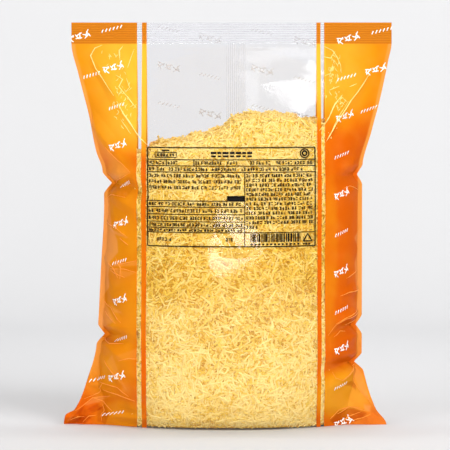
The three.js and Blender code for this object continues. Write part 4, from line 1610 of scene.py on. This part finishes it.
@dataclass
class Crests:
    """The pale crests of the film's sharp folds, partly stress-whitened film and partly painted highlight,
    lighter painted highlights along the softer folds, and painted glints where the film is crinkled.
    """

    wrapper: Wrapper
    folds: Paths = (
        ((-118.4, 262), (-106, 250), (-94.1, 239.5)), ((-114.3, 227), (-103, 234), (-94, 239)),
        ((-121, 213), (-112, 218), (-98, 216)), ((-113.6, 150.5), (-101, 154.5), (-87.6, 158)),
        ((-113.6, 148.5), (-100, 149.5), (-88.5, 147)), ((-113, 147), (-104, 143), (-99, 141.6)),
        ((-105.8, 63.2), (-96, 66.5), (-87.6, 66.3)), ((-120.5, 82.5), (-113.6, 78.4), (-100, 79.6)),
        ((-148.6, 12.2), (-138.3, 18.8), (-130.8, 25.3), (-113.2, 28.7)), ((-152, 4), (-144, 8),
        (-138, 7)), ((-140, 2), (-134, 8), (-126, 9)), ((-122, 3), (-119, 12), (-121, 19)), ((-131, 26),
        (-120, 22), (-112, 14)), ((89.5, 88), (99, 98), (107.7, 102.5), (118.6, 106.5)), ((95, 86),
        (101, 91), (106, 90)), ((112.6, 53.2), (121.9, 30.7), (133.5, 19)), ((122, 31), (128, 27),
        (131, 20)), ((92.3, 7), (100.7, 15), (112.1, 17.2), (126, 13)), ((103, 2), (110, 8), (121, 12)),
        ((131, 247), (126, 236), (119, 232)), ((118, 222), (110, 226), (104, 224)),
    )
    fold_half_width: float = 0.28
    sharp_share: float = 0.62
    soft_share: float = 0.8
    glint_spread: float = 0.5
    glint_lean: tuple[float, float] = (0.6, 2.6)
    glint_length: tuple[float, float] = (0.9, 2.6)
    glint_bend: float = 0.5
    glint_half_width: tuple[float, float] = (0.14, 0.3)
    # Clusters of painted glints: x, z, half width, half height and how many.
    glint_clusters: tuple[tuple[float, float, float, float, int], ...] = (
        (-103, 316, 8, 20, 26), (-97, 290, 7, 14, 12), (95, 330, 6, 22, 34), (101, 304, 8, 14, 18),
        (-112, 346, 12, 8, 8),
    )
    chance: np.random.Generator = field(default_factory=lambda: np.random.default_rng(8))

    def sharp(self, material: bpy.types.Material) -> bpy.types.Object:
        """Makes the bright crests of the shoulders, part whitened film and part painted highlight, with the
        painted glints.
        """
        layer = self._layer()
        for wrinkle in self.wrapper.detail.shoulder_wrinkles:
            if wrinkle.crest:
                self._crest(layer, wrinkle.path, self.sharp_share * wrinkle.crest)
        for x, z, half_width, half_height, count in self.glint_clusters:
            for _ in range(count):
                away = self.chance.normal(0, self.glint_spread, 2) * (half_width, half_height)
                start = np.array([x, z]) + away
                lean = self.chance.uniform(*self.glint_lean)
                step = np.array([math.cos(lean), math.sin(lean)]) * self.chance.uniform(*self.glint_length)
                bend = self.chance.uniform(-self.glint_bend, self.glint_bend)
                path = (start - step, start + np.array([-step[1], step[0]]) * bend, start + step)
                self._crest(layer, path, self.chance.uniform(*self.glint_half_width))
        return layer.build("film_crest_highlights", material)

    def soft(self, material: bpy.types.Material) -> bpy.types.Object:
        """Makes the faint crests lower down, where the cheese backs the film: lighter lines painted as the
        folds' highlights.
        """
        layer = self._layer()
        detail = self.wrapper.detail
        for wrinkle in (*detail.band_wrinkles, *detail.base_wrinkles):
            self._crest(layer, wrinkle.path, self.soft_share * wrinkle.crest)
        for fold in self.folds:
            self._crest(layer, fold, self.fold_half_width)
        return layer.build("film_fold_highlights", material)

    def _layer(self) -> PrintLayer:
        """An empty layer, close-stepped and thick enough to stay above the folds."""
        return PrintLayer(self.wrapper.front, self.wrapper.offset, base=-0.1, top=0.34, longest_step=0.7)

    def _crest(self, layer: PrintLayer, path: Stations, half_width: float) -> None:
        """Adds one crest along a path of x and z on the standing bag."""
        x, z = np.array(path, float).T
        z = np.clip(z, 0.5, self.wrapper.form.height - 0.5)
        layer.ribbon(np.stack([self.wrapper.front.film_at(x, z), z], 1), half_width, tapers=True)


@dataclass
class BandPrint:
    """White ink on the bag: columns of motifs on the front's bands, and on the whole back."""

    wrapper: Wrapper
    motif: ShredMotif = field(default_factory=ShredMotif)
    left_column: float = -112
    right_column: float = 109.5
    front_rows: int = 11
    front_start: float = 372
    right_drop: float = 9
    outer_motifs: tuple[tuple[float, float, bool], ...] = (
        (-143, 365, True), (-136, 329, False), (-138, 44, False),
        (141, 370.5, False), (139, 334, True), (139, 297, False),
    )
    back_rows: int = 10
    back_columns: tuple[tuple[float, float, bool], ...] = (
        (-59, 372, False), (-20, 363, True), (29, 369, False), (69, 360, True),
        (-112, 371, False), (112, 366, False),
    )

    def front(self, material: bpy.types.Material) -> bpy.types.Object:
        """Prints the front's columns."""
        layer = PrintLayer(self.wrapper.front, self.wrapper.offset)
        for k in range(self.front_rows):
            z = self.front_start - k * self.motif.pitch
            self.motif.place(layer, self.left_column, z, is_large=bool(k % 2))
            self.motif.place(layer, self.right_column, z - self.right_drop, is_large=not k % 2)
        for film, z, is_large in self.outer_motifs:
            self.motif.place(layer, film, z, is_large)
        return layer.build("white_print_front", material)

    def back(self, material: bpy.types.Material) -> bpy.types.Object:
        """Prints the back's clear middle and its bands."""
        layer = PrintLayer(self.wrapper.back, self.wrapper.offset)
        for column, start, starts_large in self.back_columns:
            for k in range(self.back_rows):
                z, is_large = start - k * self.motif.pitch, bool(k % 2) != starts_large
                self.motif.place(layer, column, z, is_large, way=-1)
        return layer.build("white_print_back", material)


@dataclass
class InfoPanel:
    """The black ruled panel on the front: its texts are plain dashes, and its block a row of posts."""

    wrapper: Wrapper
    left: float = -77.7
    right: float = 77.2
    top: float = 263
    bottom: float = 172.5
    divider: float = 12.1
    rule: float = 0.75
    frame_rule: float = 1.0
    stroke: float = 0.68
    row_lines: tuple[float, ...] = (252, 246.3, 240.6)
    left_lines: tuple[float, ...] = (214.3, 208.7, 201.9, 195.2, 189.6)
    shared_line: float = 185.3
    row_posts: tuple[float, ...] = (-60.3, -34.8)
    text_gap: float = 1.5
    marks: tuple[int, int] = (2, 6)
    mark_width: tuple[float, float] = (1.5, 2.3)
    mark_gap: float = 0.55
    word_gap: tuple[float, float] = (0.7, 1.7)
    title_bars: tuple[float, ...] = (5.0, 3.6, 5.6, 4.4, 5.0, 3.4, 4.6)
    chance: np.random.Generator = field(default_factory=lambda: np.random.default_rng(5))

    def build(self, material: bpy.types.Material) -> bpy.types.Object:
        """Prints the panel."""
        layer = PrintLayer(self.wrapper.front, self.wrapper.offset)
        self._rules(layer)
        self._head(layer)
        self._texts(layer)
        self._block(layer)
        return layer.build("black_print", material)

    def _rules(self, layer: PrintLayer) -> None:
        """The outer frame and the lines of the table."""
        for z in (self.top, self.bottom):
            layer.bar(self.left, self.right, z, self.frame_rule)
        for x in (self.left, self.right):
            layer.post(x, self.bottom, self.top, self.frame_rule)
        for z in (*self.row_lines, self.shared_line):
            layer.bar(self.left, self.right, z, self.rule)
        for z in self.left_lines:
            layer.bar(self.left, self.divider, z, self.rule)
        layer.post(self.divider, self.bottom, self.row_lines[-1], self.rule)
        for x in self.row_posts:
            layer.post(x, self.row_lines[1], self.row_lines[0], self.rule)
        layer.bar(-4.2, self.divider - 0.4, 216.8, 4.6)

    def _dashes(self, layer: PrintLayer, left: float, right: float, z: float, height: float) -> None:
        """A line of text as groups of plain marks.

        Args:
            layer: the ink that it is added to.
            left: where the line starts.
            right: where it ends.
            z: its middle's height.
            height: the line's height.
        """
        x = left
        while x < right - self.text_gap:
            for _ in range(int(self.chance.integers(*self.marks))):
                width = self.chance.uniform(*self.mark_width)
                if x + width > right:
                    break
                self._mark(layer, x, z, width, height)
                x += width + self.mark_gap
            x += self.chance.uniform(*self.word_gap)

    def _mark(self, layer: PrintLayer, x: float, z: float, width: float, height: float) -> None:
        """One mark: one or two short bars, mostly with a post through them."""
        levels = self.chance.permutation([-0.4, -0.05, 0.35])[: 2 + int(self.chance.random() < 0.35)]
        for level in levels:
            layer.bar(x, x + width * self.chance.uniform(0.75, 1), z + height * level, self.stroke)
        if self.chance.random() < 0.8:
            post = x + width * self.chance.choice([0.15, 0.5, 0.85])
            layer.post(post, z - height * 0.5, z + height * self.chance.uniform(0.25, 0.5), self.stroke)

    def _head(self, layer: PrintLayer) -> None:
        """The title's heavy dashes, a plain frame on the left and a plain ring on the right."""
        x = -19.2
        for width in self.title_bars:
            layer.bar(x, x + width, 258.3, 2.0)
            layer.bar(x + 0.3, x + width - 0.3, 255.3, 1.5)
            x += width + 1.1
        frame_path = [[-70.8, 254], [-51, 254], [-51, 258.6], [-70.8, 258.6], [-70.8, 253.8]]
        layer.ribbon(np.array(frame_path), 0.35)
        layer.bar(-64.5, -57.5, 260.4, 1.2)
        self._dashes(layer, -69, -53, 256.3, 2.6)
        angle = np.linspace(0, math.tau, 25)
        for radius, half_width in ((4.0, 0.5), (2.0, 0.7)):
            ring = np.stack([67.5 + radius * np.cos(angle), 257.6 + radius * np.sin(angle)], 1)
            layer.ribbon(ring, half_width)

    def _texts(self, layer: PrintLayer) -> None:
        """All lines of text."""
        inner_left, inner_right = self.left + 1.4, self.divider - 1
        for left, right in ((inner_left, -61.5), (-59, -48), (-33.5, -8), (-4, 8), (17, 38), (41, 76)):
            self._dashes(layer, left, right, 249.2, 3.0)
        for left, right in ((inner_left, -61.5), (-58, -22), (-18, 6), (9, 66)):
            self._dashes(layer, left, right, 243.4, 3.0)
        for z in (237.4, 232, 226.6):
            self._dashes(layer, inner_left, inner_right, z, 3.0)
        for k in range(12):
            end = self.right - 1.2 if k < 11 else self.divider + 12
            self._dashes(layer, self.divider + 1.4, end, 237.6 - 4.28 * k, 2.9)
        for z, height in ((211.5, 2.8), (205.3, 3.2), (198.5, 3.2), (192.4, 3.0), (187.4, 2.0)):
            self._dashes(layer, inner_left, inner_right, z, height)
        self._dashes(layer, -68.9, -53.8, 179, 3.2)
        self._dashes(layer, -5.2, 2.4, 179, 3.2)

    def _block(self, layer: PrintLayer) -> None:
        """The block of upright bars, and a plain triangle beside it."""
        x = 17.4
        while x < 63:
            width = self.chance.choice([0.6, 0.6, 1.0, 1.5])
            layer.post(x + width / 2, 176.6, 184.4, width)
            x += width + self.chance.choice([0.6, 0.6, 1.1])
        for k in range(13):
            layer.bar(17.4 + 3.6 * k, 19.2 + 3.6 * k, 174.6, 1.6)
        layer.ribbon(np.array([[66.3, 177], [74.3, 177], [70.3, 183.8], [66.3, 177], [67.3, 177]]), 0.6)
        self._dashes(layer, 66, 75, 174.4, 1.4)


# --------------------------------------------------------------------------------------------- studio


@dataclass(frozen=True)
class Softbox:
    """A soft light that looks at the bag's middle from a direction seen from there.

    A large one is feathered: it lights the bag, but the gloss doesn't mirror it.
    """

    name: str
    azimuth: float
    elevation: float
    distance: float
    width: float
    height: float
    power: float
    is_mirrored: bool = False
    roll: float = 0
    target_height: float = 190

    def build(self) -> None:
        """Adds the light."""
        data = bpy.data.lights.new(self.name, "AREA")
        data.shape = "RECTANGLE"
        data.size, data.size_y = self.width * MM, self.height * MM
        data.energy = self.power
        obj = bpy.data.objects.new(self.name, data)
        obj.visible_glossy = self.is_mirrored
        obj.visible_camera = False
        turn, rise = math.radians(self.azimuth), math.radians(self.elevation)
        way = Vector((math.sin(turn) * math.cos(rise), -math.cos(turn) * math.cos(rise), math.sin(rise)))
        obj.location = Vector((0, 0, self.target_height * MM)) + way * self.distance * MM
        turned = (-way).to_track_quat("-Z", "Y") @ Quaternion((0, 0, 1), math.radians(self.roll))
        obj.rotation_euler = turned.to_euler()
        bpy.context.scene.collection.objects.link(obj)


@dataclass(frozen=True)
class Studio:
    """A plain pale sweep, soft light and the camera."""

    frame_width: float = 422
    distance: float = 3200
    elevation: float = 4.0
    centre_x: float = -2.1
    centre_z: float = 188.5
    sensor: float = 36
    ambient: float = 0.04
    paper: str = "#c6c6c7"
    floor_near: float = -9000
    floor_end: float = 900
    curve_radius: float = 500
    wall_top: float = 3500
    half_width: float = 9000
    wash_size: tuple[float, float] = (2400, 500)
    wash_power: float = 27.2
    wash_place: tuple[float, float, float] = (0, 250, 1700)
    wash_target: tuple[float, float, float] = (0, 1400, 350)
    softboxes: tuple[Softbox, ...] = (
        Softbox("key_right", 42, 34, 2100, 1100, 1100, 36.8),
        Softbox("fill_left", -50, 24, 2000, 1100, 1200, 22),
        Softbox("low_front", 0, 3, 2600, 1500, 400, 18.2),
        Softbox("floor_bounce", 0, -12.5, 820, 1100, 14, 3.6),
        Softbox("right_behind", 118, 42, 2200, 900, 900, 3),
        Softbox("behind", 175, 58, 1600, 1400, 800, 1.5),
        Softbox("streak", 32, 52.4, 1700, 120, 640, 1.45, is_mirrored=True, roll=26.7),
        Softbox("thin_streak", 15.4, 63.1, 1700, 80, 663, 0.41, is_mirrored=True, roll=-4),
        Softbox("beside_camera", 2, 3.2, 3600, 1300, 230, 8.5, is_mirrored=True),
    )

    def camera(self) -> None:
        """Sets a long lens in front of the bag, a little above its middle."""
        data = bpy.data.cameras.new("camera")
        data.sensor_width = self.sensor
        data.lens = self.sensor * self.distance / self.frame_width
        data.clip_end = 50
        obj = bpy.data.objects.new("camera", data)
        tilt = math.radians(self.elevation)
        target = Vector((self.centre_x, 0, self.centre_z)) * MM
        obj.location = target + Vector((0, -math.cos(tilt), math.sin(tilt))) * self.distance * MM
        obj.rotation_euler = (math.pi / 2 - tilt, 0, 0)
        bpy.context.scene.collection.objects.link(obj)
        bpy.context.scene.camera = obj

    def sweep(self) -> None:
        """A floor that curves up into a wall behind the bag.

        The paper is clear from its back, so the bag can be looked at from behind the wall.
        """
        material = bpy.data.materials.new("white_paper_sweep")
        material.use_nodes = True
        body = material.node_tree.nodes["Principled BSDF"]
        body.inputs["Base Color"].default_value = linear(self.paper)
        body.inputs["Roughness"].default_value = 0.9
        body.inputs["Specular IOR Level"].default_value = 0.1
        tree = material.node_tree
        clear = add_node(tree, "ShaderNodeBsdfTransparent")
        behind = add_node(tree, "ShaderNodeNewGeometry").outputs["Backfacing"]
        paper = add_node(tree, "ShaderNodeMixShader", {}, {0: behind, 1: body, 2: clear})
        tree.links.new(paper.outputs[0], tree.nodes["Material Output"].inputs["Surface"])
        radius, half = self.curve_radius, self.half_width
        turn = np.linspace(0, math.pi / 2, 24)
        curve = [(self.floor_end + radius * math.sin(a), radius - radius * math.cos(a)) for a in turn]
        profile = [(self.floor_near, 0), *curve, (self.floor_end + radius, self.wall_top)]
        points = np.array([[x, y, z] for y, z in profile for x in (-half, half)], float)
        faces = [[2 * k, 2 * k + 1, 2 * k + 3, 2 * k + 2] for k in range(len(profile) - 1)]
        mesh_object("sweep", points, faces, [material])

    def wall_wash(self) -> None:
        """Lights the wall from above the bag."""
        wash = bpy.data.lights.new("wall_wash", "AREA")
        wash.shape, wash.energy = "RECTANGLE", self.wash_power
        wash.size, wash.size_y = (side * MM for side in self.wash_size)
        lamp = bpy.data.objects.new("wall_wash", wash)
        lamp.location = Vector(self.wash_place) * MM
        way = Vector(self.wash_target) * MM - lamp.location
        lamp.rotation_euler = way.to_track_quat("-Z", "Y").to_euler()
        bpy.context.scene.collection.objects.link(lamp)

    def build(self) -> None:
        """Builds the studio."""
        self.camera()
        self.sweep()
        self.wall_wash()
        for softbox in self.softboxes:
            softbox.build()
        world = bpy.data.worlds.new("studio")
        world.use_nodes = True
        world.node_tree.nodes["Background"].inputs[0].default_value = linear("#ffffff")
        world.node_tree.nodes["Background"].inputs[1].default_value = self.ambient
        scene = bpy.context.scene
        scene.world = world
        scene.view_settings.view_transform = "Standard"


# ----------------------------------------------------------------------------------------------- main


def report(piece: bpy.types.Object) -> None:
    """Logs a piece and its number of triangles."""
    log.info("%s: %d triangles", piece.name, sum(len(face.vertices) - 2 for face in piece.data.polygons))


def main() -> None:
    """Builds the bag's pieces in order, fixes them to the frame, and sets the studio."""
    logging.basicConfig(level=logging.INFO, format="%(name)s %(message)s")
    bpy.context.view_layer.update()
    fill = Fill()
    wrapper = Wrapper(BagForm(), FilmDetail(), fill)
    printed, clear = PrintedFilm().make(), ClearFilm().make()
    welded = ClearFilm("welded_polyethylene_film", haze=0.06, groove_haze=0.3, gloss_roughness=0.35).make()
    film = wrapper.build([printed, clear, welded])
    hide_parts(NODE)

    pile = Pile(wrapper, fill)
    shreds = Cheese("fine_cheddar_shreds", "#fde28c", "#f0c748", "#d79c1c").make()
    # The core's deeper cheese colours are painted shade, seen in the gaps between the shreds.
    contents = [pile.core(Cheese("packed_cheddar_painted_gap_shade", "#e8ba3c", "#d89e26", "#c48818", glow=0).make())]
    flat, proud = (2.4, 0.7, 2.4), (5.0, 5.0, 2.5)
    front, back = Face.FRONT, Face.BACK
    strewn = (
        (Shredding("shreds_deep", 5400, (5, 15), (0.9, 1.5), flat, 0.06, 11, 5), (front, 2.3, 2)),
        (Shredding("shreds_middle", 6200, (4, 13), (0.8, 1.25), flat, 0.05, 12, 4), (front, 1.5, 4)),
        (Shredding("shreds_front", 5400, (3, 12), (0.7, 1.15), flat, 0.03, 15, 4), (front, 0.75, 6)),
        (Shredding("shreds_back", 6700, (5, 13), (1.0, 1.6), flat, 0.06, 13, 4), (back, 1.2, 6)),
        (Shredding("shreds_heap", 4300, (7, 16), (1.5, 1.3), proud, 0.3, 14, 6), None),
    )
    for shredding, wall in strewn:
        bed = pile.wall_bed(*wall) if wall else pile.heap_bed()
        piece = shredding.strew(bed, shreds)
        pile.settle(piece, gap=0.15)
        contents.append(piece)

    bands = BandPrint(wrapper)
    white = Ink("white_flexo_ink", "#f6f2ea", 0.95, least=0.85).make()
    behind = Ink("white_flexo_ink_on_the_back", "#e4e0dc", 0.45, glow=0.5).make()
    black = Ink("black_flexo_ink", "#0c0a08").make()
    # Pale crests of the sharp folds: partly whitened film, partly painted highlight, with painted glints.
    crest_highlight_ink = Ink("stress_whitened_film_painted_highlight", "#ffe08c", glow=0.2).make()
    # The soft folds' lighter lines are painted highlights.
    fold_highlight_ink = Ink("painted_fold_highlight", "#f0973c", glow=0.2).make()
    crests = Crests(wrapper)
    print_pieces = [bands.front(white), bands.back(behind), InfoPanel(wrapper).build(black)]
    print_pieces += [crests.sharp(crest_highlight_ink), crests.soft(fold_highlight_ink)]
    for piece in (film, *contents, *print_pieces):
        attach(piece, BODY)
        report(piece)
    Studio().build()


if __name__ == "__main__":
    main()
